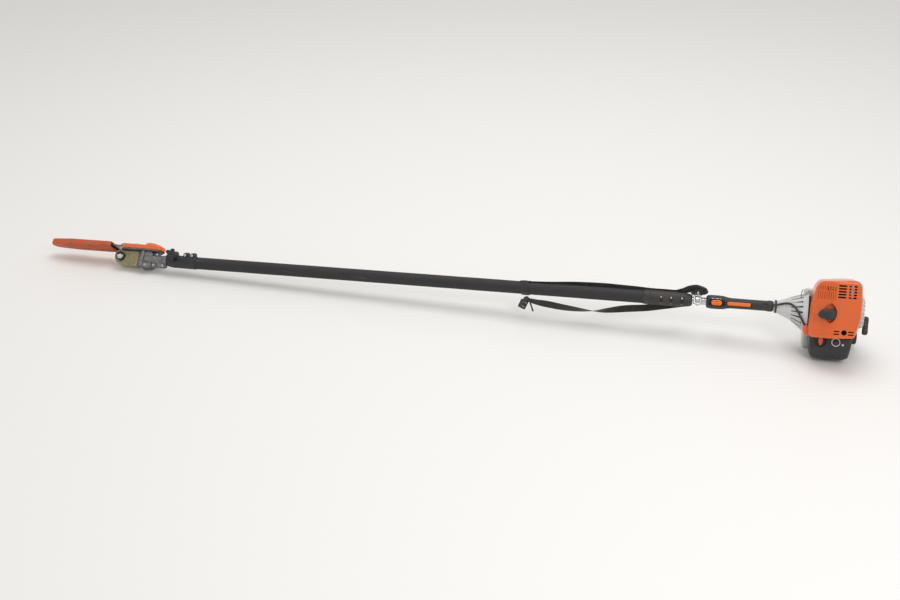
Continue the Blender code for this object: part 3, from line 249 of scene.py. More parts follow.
# --------------------------------------------------------------------------------------------------
# Engine cover: one injection-moulded orange shell of 3 mm, crowned over the cylinder and screwed to the
# crankcase, with cooling grilles, a pointed recess round the spark plug boot and a fluted panel.
COVER_OUTLINE = [
    (2828, 62), (2833, 84), (2847, 101), (2925, 109), (2956, 108), (2969, 96), (2974, 47),
    (2974, -12), (2965, -50), (2957, -76), (2822, -84), (2818, -58), (2820, 19),
]
COVER_RIM = 4.0
COVER_WALL = 2.8
COVER_EDGE = 9.0
RIDGE_X = 2890.0
CREASE = [(2810.0, -74.0), (2883.0, -55.0), (2990.0, -50.0)]
RECESS_X = 2878.0


def soften(points, radius, count=6):
    """Each corner becomes the parabola between the places a radius away on its two sides."""
    p = np.asarray(points, float)
    before, after = np.roll(p, 1, 0), np.roll(p, -1, 0)
    t = np.linspace(0, 1, count)[:, None, None]

    def towards(q):
        gap = np.linalg.norm(q - p, axis=-1, keepdims=True)
        return p + (q - p) * np.minimum(radius / np.maximum(gap, 1e-9), 0.48)

    curved = (1 - t) ** 2 * towards(before) + 2 * t * (1 - t) * p + t**2 * towards(after)
    curved = np.swapaxes(curved, 0, 1)
    return curved.reshape(-1, p.shape[1])


def even(loop, count):
    """The closed outline read off again at equal steps along its length."""
    ring = np.vstack([loop, loop[:1]])
    length = np.r_[0, np.cumsum(np.linalg.norm(np.diff(ring, axis=0), axis=1))]
    at = np.linspace(0, length[-1], count, endpoint=False)
    return np.stack([np.interp(at, length, ring[:, k]) for k in range(ring.shape[1])], -1)


def rounded(points, radius, steps, count):
    """A closed outline with each corner rounded in a few steps, then read off at a count of equal steps."""
    return even(soften(points, radius, steps), count)


def inwards(loop):
    """Unit normals of a closed flat outline, pointing into it."""
    along = np.roll(loop, -1, 0) - np.roll(loop, 1, 0)
    along /= np.maximum(np.linalg.norm(along, axis=1, keepdims=True), 1e-9)
    x, y = loop.T
    way = np.sign(np.sum(x * np.roll(y, -1) - y * np.roll(x, -1)))
    return way * np.stack([-along[:, 1], along[:, 0]], -1)


def skin(rings, capped=True, looped=False):
    """A grid of closed rings, each joined to the next by quads, its ends capped or joined to each other."""
    m, n = rings.shape[:2]
    index = np.arange(m * n).reshape(m, n)
    rows = np.vstack([index, index[:1]]) if looped else index
    grid = np.hstack([rows, rows[:, :1]])
    quads = np.stack([grid[:-1, :-1], grid[:-1, 1:], grid[1:, 1:], grid[1:, :-1]], -1).reshape(-1, 4).tolist()
    if capped and not looped:
        quads += [index[0][::-1].tolist(), index[-1].tolist()]
    return rings.reshape(-1, 3), quads


def round_trip(count):
    """Equal angles once round a circle."""
    return np.linspace(0, 2 * pi, count, endpoint=False)


def turned(profile, axis="x", at=(0, 0, 0), steps=72, hollow=False, waves=0, depth=0.0):
    """A profile of (along, radius) carried round an axis. Its radius may swell by depth in some waves."""
    p = np.asarray(profile, float)
    a = round_trip(steps)
    radius = p[:, 1:] + depth * np.cos(waves * a) * (p[:, 1:] > 0.7 * p[:, 1].max())
    along = np.repeat(p[:, :1], steps, 1)
    u, v = radius * np.cos(a), radius * np.sin(a)
    order = {"x": (along, u, v), "y": (v, along, u), "z": (u, v, along)}[axis]
    return skin(np.stack(order, -1) + np.asarray(at, float), looped=hollow)


def rod(low, high, radius, axis="x", at=(0, 0, 0), steps=72):
    """A straight round bar along an axis."""
    return turned([(low, radius), (high, radius)], axis, at, steps)


def slab(outline, low, high, edge=1.0, plane="xy", steps=4):
    """A flat outline given a thickness. Its edges are quarter circles: in by edge·(1 − sin a), and down by
    edge·(1 − cos a)."""
    loop = np.asarray(outline, float)
    a = np.linspace(0, pi / 2, steps)
    inset = edge * (1 - np.sin(a))
    level = edge * (1 - np.cos(a))
    inset, level = np.r_[inset, inset[::-1]], np.r_[low + level, high - level[::-1]]
    flat = loop[None] + inwards(loop)[None] * inset[:, None, None]
    height = np.broadcast_to(level[:, None], flat.shape[:2])
    order = {"xy": (flat[..., 0], flat[..., 1], height), "xz": (flat[..., 0], height, flat[..., 1]),
             "yz": (height, flat[..., 0], flat[..., 1])}[plane]
    return skin(np.stack(order, -1))


def prism(outline, low, high, plane="xy"):
    """A flat outline given a thickness with all but sharp edges, to cut rooms with."""
    return slab(outline, low, high, 0.01, plane, 2)


def swept(path, profile, up=(0, 0, 1), looped=False):
    """The profile's (a, b) set across the path: place = path + a·side + b·over, where side = along × up and
    over = side × along."""
    p = np.asarray(path, float)
    along = np.gradient(p, axis=0) if not looped else np.roll(p, -1, 0) - np.roll(p, 1, 0)
    along /= np.linalg.norm(along, axis=1, keepdims=True)
    side = np.cross(along, np.broadcast_to(np.asarray(up, float), p.shape))
    side /= np.linalg.norm(side, axis=1, keepdims=True)
    over = np.cross(side, along)
    q = np.asarray(profile, float)
    return skin(p[:, None] + side[:, None] * q[:, 0, None] + over[:, None] * q[:, 1, None], looped=looped)


def ring_of(radius, count=24):
    """A round profile for swept."""
    return np.stack([radius * np.cos(round_trip(count)), radius * np.sin(round_trip(count))], -1)


def box_shape(x, y, z):
    """A block between two places on each axis."""
    corners = np.array([(a, b, c) for a in x for b in y for c in z], float)
    return corners, [[0, 1, 3, 2], [4, 6, 7, 5], [0, 4, 5, 1], [2, 3, 7, 6], [0, 2, 6, 4], [1, 5, 7, 3]]


def spin_x(angle):
    """The matrix that turns about x."""
    return np.array([[1, 0, 0], [0, cos(angle), -sin(angle)], [0, sin(angle), cos(angle)]])


def spin_y(angle):
    """The matrix that turns about y."""
    return np.array([[cos(angle), 0, sin(angle)], [0, 1, 0], [-sin(angle), 0, cos(angle)]])


def together(shapes):
    """Several shapes as one list of points and one of faces."""
    places, faces, start = [], [], 0
    for points, polygons in shapes:
        places.append(points)
        faces += [[start + i for i in polygon] for polygon in polygons]
        start += len(points)
    return np.vstack(places), faces


def to_mesh(name, shape, roll):
    """A mesh of the shape laid on the floor, its faces pointing out."""
    points, faces = shape
    mesh = bpy.data.meshes.new(name)
    mesh.from_pydata(lie(points, roll).tolist(), [], faces)
    bm = bmesh.new()
    bm.from_mesh(mesh)
    bmesh.ops.remove_doubles(bm, verts=bm.verts, dist=1e-6)
    bmesh.ops.recalc_face_normals(bm, faces=bm.faces)
    bm.to_mesh(mesh)
    bm.free()
    return mesh


def applied(piece):
    """Replaces the piece's mesh by what its modifiers make of it."""
    graph = bpy.context.evaluated_depsgraph_get()
    mesh = bpy.data.meshes.new_from_object(piece.evaluated_get(graph))
    piece.modifiers.clear()
    piece.data = mesh


def combine(piece, shape, roll, operation, overlapping=False):
    """Cuts a shape out of the piece, or joins it on."""
    other = bpy.data.objects.new("tool", to_mesh("tool", shape, roll))
    bpy.context.scene.collection.objects.link(other)
    step = piece.modifiers.new("step", "BOOLEAN")
    step.operation, step.object, step.solver, step.use_self = operation, other, "EXACT", overlapping
    applied(piece)
    bpy.data.objects.remove(other)


def shade(piece, sharp, bevel=0.0, bevel_angle=40):
    """Smooth shading up to the sharp angle, and edges over the bevel's angle rounded."""
    piece.data.shade_smooth()
    piece.data.set_sharp_from_angle(angle=radians(sharp))
    if bevel:
        edge = piece.modifiers.new("rounded_edges", "BEVEL")
        edge.width, edge.segments, edge.limit_method = bevel * MM, 2, "ANGLE"
        edge.angle_limit = radians(bevel_angle)


def make(name, shape, material, body, replaces=(), joins=(), cuts=(), bevel=0.0, sharp=35,
         bevel_angle=40, wall=0.0):
    """A finished piece: the shape, with others joined on and cut out, its edges rounded and shaded. What
    moves with the saw's head lies at the head's roll."""
    roll = HEAD_ROLL if body in HEAD_BODIES else POLE_ROLL
    piece = bpy.data.objects.new(name, to_mesh(name, shape, roll))
    bpy.context.scene.collection.objects.link(piece)
    if wall:
        shell = piece.modifiers.new("wall", "SOLIDIFY")
        shell.thickness, shell.offset = wall * MM, -1.0
        applied(piece)
    for joined in joins:
        combine(piece, joined, roll, "UNION")
    if cuts:
        combine(piece, together(cuts), roll, "DIFFERENCE", True)
    piece.data.materials.clear()
    piece.data.materials.append(material)
    shade(piece, sharp, bevel, bevel_angle)
    if body:
        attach(piece, body)
    if replaces:
        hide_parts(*replaces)
    return piece


def crown(x, y):
    """The cover's top: it climbs to a soft ridge over the cylinder, and is lower below the crease."""
    rise = np.interp(x, [2800, 2816, RIDGE_X, 2960, 2990], [76, 86, 127.5, 121, 104])
    soft = np.exp(-(((x - RIDGE_X) / 5.0) ** 2)) * -0.9
    edge = np.interp(x, *np.array(CREASE).T)
    step = 1 / (1 + np.exp(np.clip((y - edge) / 0.7, -30, 30)))
    return rise + soft - 2.4 * step


COVER_STEPS = 260
cover_loop = rounded(COVER_OUTLINE, 11.0, 8, COVER_STEPS)
cover_in = inwards(cover_loop)
spine = np.stack([2896 + 0.10 * (cover_loop[:, 0] - 2896), np.clip(cover_loop[:, 1] * 0.55, -40, 55)], -1)
levels = []
for share in np.linspace(0, 1, 8):
    top = crown(cover_loop[:, 0], cover_loop[:, 1]) - COVER_EDGE
    levels.append(np.c_[cover_loop, COVER_RIM + (top - COVER_RIM) * share])
for angle in np.linspace(0, pi / 2, 9)[1:]:
    moved = cover_loop + cover_in * COVER_EDGE * (1 - cos(angle))
    levels.append(np.c_[moved, crown(moved[:, 0], moved[:, 1]) - COVER_EDGE * (1 - sin(angle))])
inner_loop = cover_loop + cover_in * COVER_EDGE
for share in np.linspace(0, 1, 64)[1:]:
    moved = inner_loop + (spine - inner_loop) * share * 0.985
    levels.append(np.c_[moved, crown(moved[:, 0], moved[:, 1])])
shell_shape = skin(np.array(levels), capped=False)
middle_face = (np.arange(COVER_STEPS) + COVER_STEPS * (len(levels) - 1)).tolist()
shell_shape = (shell_shape[0], shell_shape[1] + [middle_face])


def slot_shape(x, y, z, half_length, half_width, slope=0.0, depth=20.0, along="x"):
    """A round-ended slot through a wall, its long way along x or y."""
    a = np.r_[np.linspace(-pi / 2, pi / 2, 6), np.linspace(pi / 2, 3 * pi / 2, 6)]
    shift = np.r_[np.ones(6), -np.ones(6)] * (half_length - half_width)
    u, v = half_width * np.cos(a) + shift, half_width * np.sin(a)
    flat = np.stack([u, v] if along == "x" else [v, u], -1)
    rings = np.stack([np.c_[flat, np.full(12, h)] for h in (-depth, depth)])
    points, faces = skin(rings)
    return points @ spin_y(slope).T + (x, y, z), faces


cover_cuts = [
    rod(2790, 3020, 52),
    box_shape((2838, 2945), (-100, -68), (-20, 62)),
    box_shape((2800, 2835), (-76, -48), (46, 64)),
    rod(60, 140, 8.5, "z", (2924, -58, 0), 32),
]
cover_cuts += [slot_shape(x + 12.5, 54.0 + 9.1 * row, 110, 12.5, 2.7)
               for row in range(5) for x in (2896.5, 2928.5)]
cover_cuts += [slot_shape(x + 9, -55.0 - 9.0 * row, 110, 9, 2.0) for row in range(2)
               for x in (2892.0, 2936.0)]
front_slope = -np.arctan2(41.5, 74)
for flutes, y, raised, half_length, half_width in (
    ((2867.0, 2873.5, 2880.0, 2888.0), 79, 0, 7.5, 1.35),
    (np.arange(2836, 2890, 6.3), 57, 6.6, 13, 1.1),
    (np.arange(2836, 2864, 6.3), 80, 6.8, 7, 1.1),
):
    cover_cuts += [slot_shape(x, y, crown(x, y) + raised, half_length, half_width, front_slope, 8, "y")
                   for x in flutes]
recess_a = round_trip(48)
recess_x = RECESS_X + 20 * np.cos(recess_a) * np.abs(np.cos(recess_a)) ** 0.5
recess = np.stack([recess_x, 1 + 33 * np.sin(recess_a)], -1)
cover_cuts.append(prism(recess, 90, 160))

COVER_ORANGE = finish("cover_orange", (0.74, 0.112, 0.010), 0.25, dirt=(0.36, 0.10, 0.03), amount=0.30,
                      scale=18.0, skin_scale=1500.0, skin_depth=0.02, Coat_Weight=0.35, Coat_Roughness=0.12)
make("engine_cover", shell_shape, COVER_ORANGE, "powerhead", ["engine_shroud"],
     wall=COVER_WALL, cuts=cover_cuts, bevel=0.55, sharp=32, bevel_angle=38)

recess_in = inwards(recess)
well = [np.c_[recess + recess_in * (0.2 + 3.0 * t), np.full(48, 119 - 11 * t)] for t in np.linspace(0, 1, 6)]
well += [np.c_[RECESS_X + (recess[:, 0] - RECESS_X) * s, recess[:, 1] * s, np.full(48, 107.5)]
         for s in (0.8, 0.4)]
well_shape = skin(np.array(well)[::-1], capped=False)
well_shape = (well_shape[0], well_shape[1] + [np.arange(48).tolist()])
make("boot_recess_wall", well_shape, COVER_ORANGE, "powerhead", wall=1.5)

# --------------------------------------------------------------------------------------------------
# Clutch housing: a pressure die-cast cone in pale grey paint, with slanted slots that let the fan's air
# out. It is screwed to the crankcase and clamps the end of the drive tube.
CONE = np.array([
    (2710.0, 0.0, 0.0, 18.0, 18.0), (2722.0, -1.0, 0.0, 20.0, 20.0), (2731.0, -1.5, 1.0, 24.5, 24.0),
    (2747.0, -2.0, 3.0, 31.0, 30.0), (2763.0, -1.5, 6.0, 38.5, 37.0), (2805.0, -11.5, 10.0, 62.5, 54.0),
    (2815.0, -10.0, 10.5, 69.0, 57.5),
])
CONE_SEAM = 2797.0
SLOTS_X = 2781.0


def oval_rings(x, centre, radii, power, count=96):
    """Superellipses: |y/ry|^p + |z/rz|^p = 1 round each centre, one for each x."""
    a = round_trip(count)
    c, s = np.cos(a), np.sin(a)
    y = centre[:, :1] + radii[:, :1] * np.abs(c) ** (2 / power) * np.sign(c)
    z = centre[:, 1:] + radii[:, 1:] * np.abs(s) ** (2 / power) * np.sign(s)
    return np.stack([np.broadcast_to(x[:, None], y.shape), y, z], -1)


def cone_rings(x, wall=0.0):
    """The cone's sections at x, smoothed from its table, with a thin seam groove, less a wall."""
    read = np.stack([np.interp(x, CONE[:, 0], CONE[:, k]) for k in (1, 2, 3, 4)], -1)
    groove = 1.0 * (np.abs(x - CONE_SEAM) < 0.8) if not wall else np.zeros(len(x))
    return oval_rings(x, read[:, :2], read[:, 2:] - wall - groove[:, None], 2.1)


seam_x = CONE_SEAM + np.array([-1.0, -0.7, 0.7, 1.0])
cone_x = np.sort(np.r_[np.linspace(2710, 2815, 44), seam_x])
cone_cuts = [skin(cone_rings(np.linspace(2752, 2820, 24), 3.0)),
             turned([(2700, 13.0), (2741, 13.0), (2741, 15.7), (2765, 15.7)])]
slot_cuts = []
section = [np.interp(SLOTS_X, CONE[:, 0], CONE[:, k]) for k in (1, 2, 3, 4)]
for i in range(12):
    angle = radians(-76 + 18.5 * i if i < 9 else 130 + 50 * (i - 9))
    at = (SLOTS_X, section[0] + section[2] * sin(angle), section[1] + section[3] * cos(angle))
    points, faces = slot_shape(0, 0, 0, 21.0, 2.7, 0.0, 9.0)
    points[:, 1] *= 0.62 + 0.42 * (points[:, 0] + 21) / 42
    slot_cuts.append(((points @ spin_y(radians(-33)).T) @ spin_x(-angle).T + at, faces))
GREY_PAINT = finish("pale_grey_paint", (0.60, 0.60, 0.61), 0.42, dirt=(0.33, 0.30, 0.26), amount=0.35,
                    scale=38.0, skin_scale=1300.0, skin_depth=0.10, Coat_Weight=0.15)
cone_piece = make("clutch_cone", skin(cone_rings(cone_x)), GREY_PAINT, "powerhead",
                  ["clutch_housing"], cuts=cone_cuts, sharp=34)
combine(cone_piece, together(slot_cuts), POLE_ROLL, "DIFFERENCE", True)
shade(cone_piece, 34, 0.5, 42)
ZINC = finish("zinc_screw", (0.72, 0.72, 0.70), 0.26, dirt=(0.25, 0.22, 0.18), amount=0.35, scale=160.0,
              metallic=1.0, skin_depth=0.0)


def screw_head(x, y, z, radius, face="z", depth=3.0):
    """A socket screw's head: a turned disc with an eased rim and a round socket, facing along an axis."""
    rim = [(0, radius * 0.98), (depth * 0.72, radius), (depth * 0.92, radius * 0.94), (depth, radius * 0.82),
           (depth, radius * 0.56), (depth * 0.35, radius * 0.50)]
    return turned(rim, face, (x, y, z), 30)


def screws(name, heads, body="powerhead"):
    """Screw heads as one piece."""
    make(name, together(heads), ZINC, body, sharp=30)


# One of the cone's cast ears shows, with the screw that holds it on the crankcase.
ear = slab(rounded([(2798, 52), (2817, 52), (2817, 68), (2802, 68)], 5, 6, 48), 20, 34, 2.0)
make("clutch_cone_ear", ear, GREY_PAINT, "powerhead")
screws("clutch_cone_screw", [screw_head(2808, 60, 34, 4.5)])

# Cable tie, wire and guide: a black nylon tie holds the cable at the cone's neck, a thin earth wire leaves
# the cone's top, and an orange moulded guide leads the cable in under the cover.


def oblong(x0, x1, y0, y1):
    """The four corners of a rectangle."""
    return [(x0, y0), (x1, y0), (x1, y1), (x0, y1)]


NYLON = finish("black_nylon", (0.016, 0.016, 0.017), 0.38, amount=0.08, scale=80.0, skin_depth=0.02)
TIE_X = 2716.0
TIE_R = 20.6
tie_path = np.c_[np.full(72, TIE_X), TIE_R * np.cos(round_trip(72)), TIE_R * np.sin(round_trip(72))]
tie_path[:, 2] += np.where(tie_path[:, 2] > 0, 8.4 * np.exp(-((tie_path[:, 1] - 7.0) / 7.0) ** 2), 0)
tie_section = soften(oblong(-1.1, 1.1, -3.2, 3.2), 0.5, 3)
make("cable_tie", swept(tie_path, tie_section, up=(1, 0, 0), looped=True), NYLON, "powerhead")
line("earth_wire", [(2789, 36, 45), (2793, 43, 43), (2791, 51, 38), (2794, 59, 33), (2797, 66, 30)], 1.2,
     NYLON, "powerhead", count=24, sides=2)
clip = slab(rounded([(2806, -78), (2824, -84), (2830, -60), (2822, -48), (2808, -46), (2802, -60)], 7, 6, 72),
            46, 67, 3.0)
make("cable_guide", clip, COVER_ORANGE, "powerhead",
     cuts=[swept(flow(CABLE_ROUTE[7:], 30), ring_of(3.9, 16))], bevel=0.4)

# --------------------------------------------------------------------------------------------------
# Spark plug boot: moulded black rubber pushed over the plug, broad towards the engine's rear and rounded in
# front.
boot_outline = rounded([(2841, -9), (2850, -17), (2886, -20), (2896, -14), (2897, 8), (2888, 15),
                        (2854, 13), (2844, 2)], 7, 8, 96)
boot_body = slab(boot_outline, 108, 134, 6.0, steps=7)
BOOT = finish("boot_rubber", (0.020, 0.021, 0.024), 0.50, dirt=(0.08, 0.07, 0.06), amount=0.25, scale=45.0,
              skin_scale=1100.0, skin_depth=0.10)
make("plug_boot", boot_body, BOOT, "powerhead", ["spark_plug_boot"],
     cuts=[rod(100, 125, 9.2, "z", (2870, 0, 0), 32)], bevel=0.6)
boot_ribs = [slab(rounded(oblong(x - 1.2, x + 1.2, -12, 8), 0.6, 4, 32),
                  132.4, 135.0, 0.5) for x in (2856, 2863, 2870, 2877)]
make("plug_boot_ribs", together(boot_ribs), BOOT, "powerhead")

# --------------------------------------------------------------------------------------------------
# Shade sheets: near-black sheets under the cover's vents are painted shade for the dark seen through
# them, and a bright sheet above one of them is a painted highlight seen through the vents.
# Painted shade: a near-black sheet that stands for the shade inside the vents.
SHADE_SHEET = finish("painted_shade_sheet", (0.018, 0.017, 0.017), 0.6, dirt=(0.05, 0.04, 0.03), amount=0.5, scale=60.0,
                skin_depth=0.1)
# Painted highlight: a bright sheet that stands for a highlight seen through the right vents.
HIGHLIGHT_SHEET = finish("painted_highlight_sheet", (0.84, 0.84, 0.86), 0.28, dirt=(0.45, 0.42, 0.38), amount=0.3,
                      scale=90.0, metallic=0.6, skin_scale=700.0, skin_depth=0.1)
for name, x, y, z, material in (
    ("vent_shade_sheet", (2892, 2957), (48, 97), (97.0, 98.2), SHADE_SHEET),
    ("carburetor_shade_sheet", (2888, 2955), (-74, -50), (94.0, 95.2), SHADE_SHEET),
    ("muffler_highlight_sheet", (2937, 2947), (50, 96), (101.0, 103.0), HIGHLIGHT_SHEET),
):
    make(name, slab(rounded(oblong(*x, *y), 4, 6, 72), *z, 0.5), material, "powerhead")

# --------------------------------------------------------------------------------------------------
# Filter cover: a deep black moulding on the engine's left, over the foam air filter. The choke lever stands
# in a well in its top, and the primer bulb looks out beside it.
FILTER = np.array([  # y, low and high x, low and high z, corner
    (-86.0, 2826, 2960, -47, 58, 12), (-100.0, 2827, 2959, -45.5, 57.5, 13),
    (-118.0, 2829, 2957, -42, 56, 14), (-132.0, 2831, 2955, -36, 52.5, 15),
    (-146.0, 2834, 2952, -27, 46, 15), (-152.0, 2839, 2948, -19, 41, 16), (-156.0, 2850, 2937, -11, 32, 14),
])


def rounded_rings(table, count=20):
    """Rounded rectangles across y: four quarter circles of a corner's radius, joined by straight sides."""
    a = np.linspace(0, pi / 2, count)
    a = np.r_[a, a + pi / 2, a + pi, a + 3 * pi / 2]
    right = np.repeat([1, 0, 0, 1], count)
    top = np.repeat([1, 1, 0, 0], count)
    y, x0, x1, z0, z1, corner = (table[:, k, None] for k in range(6))
    x = np.where(right, x1 - corner, x0 + corner) + corner * np.cos(a)
    z = np.where(top, z1 - corner, z0 + corner) + corner * np.sin(a)
    return np.stack([x, np.broadcast_to(y, x.shape), z], -1)


FILTER_WALL = 3.0
PRIMER = (2909.0, -97.0, 0.0)
filter_table = flow(FILTER, 44)
filter_room = filter_table[:-4].copy()
filter_room[:, 1:5] += (FILTER_WALL, -FILTER_WALL, FILTER_WALL, -FILTER_WALL)
filter_room[:, 0] = np.linspace(-80, -150, len(filter_room))
well_outline = rounded([(2843, -84), (2880, -84), (2880, -106), (2870, -116), (2853, -116), (2843, -106)],
                       8, 8, 72)
floor_outline = rounded([(2838, -80), (2885, -80), (2885, -110), (2874, -121), (2849, -121), (2838, -110)],
                        8, 8, 72)
primer_hole = rod(20, 80, 14.6, "z", PRIMER, 64)
BLACK = finish("black_moulding", (0.017, 0.018, 0.021), 0.42, dirt=(0.09, 0.08, 0.07), amount=0.20,
               scale=30.0, skin_scale=1400.0, skin_depth=0.12)
filter_piece = make("filter_box", skin(rounded_rings(filter_table)), BLACK, "powerhead",
                    ["filter_cover"], cuts=[skin(rounded_rings(filter_room))])
combine(filter_piece, prism(floor_outline, 44.5, 54.0), POLE_ROLL, "UNION")
combine(filter_piece, together([prism(well_outline, 48.5, 80), primer_hole]), POLE_ROLL,
        "DIFFERENCE", True)
shade(filter_piece, 34, 0.7, 42)

choke_a = round_trip(64)
choke_outline = np.stack([2862 + 9.4 * np.cos(choke_a) * (0.80 + 0.20 * np.sin(choke_a)),
                          -96.5 + 14.5 * np.sin(choke_a)], -1)
make("choke_lever_moulding", slab(choke_outline, 50.6, 58.6, 3.4, steps=6), COVER_ORANGE, "choke",
     ["choke_lever"])
PRIMER_RUBBER = finish("primer_rubber", (0.020, 0.018, 0.018), 0.30, amount=0.12, scale=90.0, skin_depth=0.02)
primer_dome = [(43, 9.8), (57, 9.8), (59.5, 9.0), (62, 7.0), (63.4, 4.2), (63.9, 1.6), (64, 0.3)]
make("primer_dome", turned(primer_dome, "z", PRIMER, 64), PRIMER_RUBBER, "primer", ["primer_bulb"])
primer_ring = [(43.0, 10.2), (43.0, 14.2), (58.6, 14.2), (60.0, 13.4), (60.5, 12.2), (60.0, 11.0),
               (58.6, 10.4)]
make("primer_ring", turned(primer_ring, "z", PRIMER, 72, True), GREY_PAINT, "powerhead")
nipple = [(50, 4.0), (57.6, 4.0), (57.6, 2.6), (62.2, 2.6), (62.2, 3.2), (64.2, 2.4), (64.2, 0.9)]
make("vent_nipple", turned(nipple, "z", (2931, -104, 0), 32), GREY_PAINT, "powerhead", bevel=0.2)

# --------------------------------------------------------------------------------------------------
# Fuel tank: blow-moulded translucent white plastic under the engine, with a knurled black screw cap at the
# rear.
FUEL_CAP = (0, -90, -82)
TANK_SECTION = [(-131, -52), (-132.6, -61), (-111.8, -110), (-104, -117), (55, -117), (64, -108), (64, -52)]
tank_loop = rounded(TANK_SECTION, 9, 6, 160)
TANK_WHITE = finish("tank_white", (0.70, 0.72, 0.70), 0.34, dirt=(0.42, 0.42, 0.36), amount=0.35, scale=14.0,
                    skin_scale=700.0, skin_depth=0.06, Subsurface_Weight=0.25, Subsurface_Scale=0.01)
make("fuel_tank_moulding", slab(tank_loop, 2812.0, 2962.0, 8.0, "yz", 8), TANK_WHITE, "powerhead",
     ["fuel_tank"], joins=[turned([(2950, 19), (2968, 19), (2969, 18)], "x", FUEL_CAP, 64)],
     cuts=[rod(2950, 2980, 15, "x", FUEL_CAP, 48)], sharp=40)
cap_profile = [(2954, 14.6), (2969.2, 14.6), (2969.2, 19.6), (2963, 19.6), (2963, 22.6), (2964, 23.2),
               (2979.5, 23.2), (2983.5, 22.0), (2986.0, 19.4), (2986.6, 16.0), (2985.0, 14.5),
               (2985.0, 0.4)]
cap_wing = slab(rounded(oblong(-104.5, -75.5, -85.2, -78.8), 2.5, 6, 72),
                2984, 2987.5, 1.2, "yz")
cap_shapes = [turned(cap_profile, "x", FUEL_CAP, 144, waves=36, depth=0.35), cap_wing]
make("fuel_cap_moulding", together(cap_shapes), BLACK, "tank_cap", ["fuel_cap"], bevel=0.3,
     bevel_angle=50)

# --------------------------------------------------------------------------------------------------
# Starter: a pale grey cast housing with cooling holes and short ribs at the rear, its cord wound on a
# pulley inside, and a T-shaped rubber grip on the cord's end.
ROPE = (-36.0, -4.0)
shell_profile = soften([(2931.0, 47.0), (2931.0, 50.0), (2984.0, 50.0), (2990.0, 44.0), (2990.0, 0.6),
                        (2986.5, 0.6), (2986.5, 42.0), (2982.0, 47.0)], 2.5, 5)
vents = [rod(2975, 3000, 5.2, "x", (0, 25 * cos(a), 25 * sin(a)), 24)
         for a in np.arange(9) * 2 * pi / 9 + radians(11)]
rope_eye = rod(2970, 3010, 3.6, "x", (0, *ROPE), 24)
rib_outline = rounded([(2950, 49.4), (2988, 49.4), (2991.5, 45), (2991.5, 38), (2988, 38), (2984, 51.2),
                       (2950, 51.2)], 1.0, 4, 48)
rib_points, rib_faces = slab(rib_outline, -1.3, 1.3, 0.6, "xz")
ribs = [(rib_points @ spin_x(a).T, rib_faces) for a in np.arange(20) * 2 * pi / 20]
hub = rod(2953.0, 2987.0, 4.8, "x", steps=32)
make("starter_shell", turned(shell_profile, hollow=True, steps=96), GREY_PAINT, "powerhead",
     ["starter_housing"], cuts=[*vents, rope_eye], bevel=0.4, bevel_angle=45)
make("starter_ribs", together([*ribs, hub]), GREY_PAINT, "powerhead")

ROPE_FIBRE = finish("starter_cord", (0.20, 0.17, 0.13), 0.8, dirt=(0.06, 0.05, 0.04), amount=0.6, scale=400.0,
                    skin_scale=2500.0, skin_depth=0.3)
cord_path = np.c_[np.linspace(2976, 2994, 24), np.full(24, ROPE[0]), np.full(24, ROPE[1])]
free_cord = make("starter_free_cord", swept(cord_path, ring_of(1.8, 14)), ROPE_FIBRE, "")
PALE_FIBRE = finish("starter_cord_end", (0.62, 0.58, 0.50), 0.8, dirt=(0.25, 0.21, 0.16), amount=0.4,
                    scale=400.0, skin_scale=2500.0, skin_depth=0.3)
GRIP_T = [(2992.5, -68.0), (2996.0, -72.0), (3007.0, -72.0), (3011.0, -66.0), (3010.5, -50.0),
          (3010.5, -32.0), (3011.0, -17.0), (3007.0, -11.0), (2996.0, -11.0), (2992.5, -15.0),
          (2993.0, -34.0), (2993.0, -48.0)]
GRIP_RUBBER = finish("grip_rubber", (0.034, 0.026, 0.023), 0.50, dirt=(0.14, 0.10, 0.07), amount=0.30,
                     scale=60.0, skin_scale=1200.0, skin_depth=0.10)
make("starter_grip_moulding", slab(rounded(GRIP_T, 5, 6, 140), ROPE[1] - 8, ROPE[1] + 8, 5.5, steps=7),
     GRIP_RUBBER, "pull_grip", ["starter_grip"],
     joins=[turned([(2990.4, 4.2), (2991, 5.0), (2999, 6.0)], "x", (0, *ROPE), 32)],
     cuts=[turned([(3005, 4.2), (3015, 5.2)], "x", (0, *ROPE), 32),
           rod(-20, 20, 3.6, "z", (3002.5, ROPE[0], ROPE[1]), 32)])
knot = turned([(2999, 0.5), (3000.0, 2.6), (3002.5, 3.5), (3005, 3.2), (3009.6, 0.6)], "x", (0, *ROPE), 32)
make("starter_cord_knot", knot, PALE_FIBRE, "pull_grip")
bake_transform(free_cord)

# --------------------------------------------------------------------------------------------------
# Control handle: two soft black half shells screwed together round the drive tube. An orange slide switch
# sits in its bulge, a long orange lockout lies along the grip, and the trigger hangs below.
HANDLE = np.array([  # x, centre z, half width, half height
    (2491.0, 0, 15.5, 19.0), (2492.5, 0.4, 18.6, 22.2), (2496.0, 1, 21.4, 25.0), (2505.0, 2, 22.9, 27.0),
    (2530.0, 2, 23.1, 27.1), (2548.0, 2, 22.0, 26.3), (2560.0, 2, 19.0, 24.2), (2572.0, 2, 17.4, 23.2),
    (2640.0, 2, 16.8, 22.5), (2684.0, 1, 17.0, 22.0), (2688.5, 1, 17.1, 22.0), (2690.5, 1, 18.2, 22.8),
    (2702.0, 1, 18.2, 22.6), (2705.5, 1, 17.4, 21.6), (2708.0, 1, 15.4, 19.3),
])
HANDLE_POWER = 2.6
HANDLE_SCREWS = ((2502, -9), (2590, -6), (2672, -4))
SEAM = 0.18


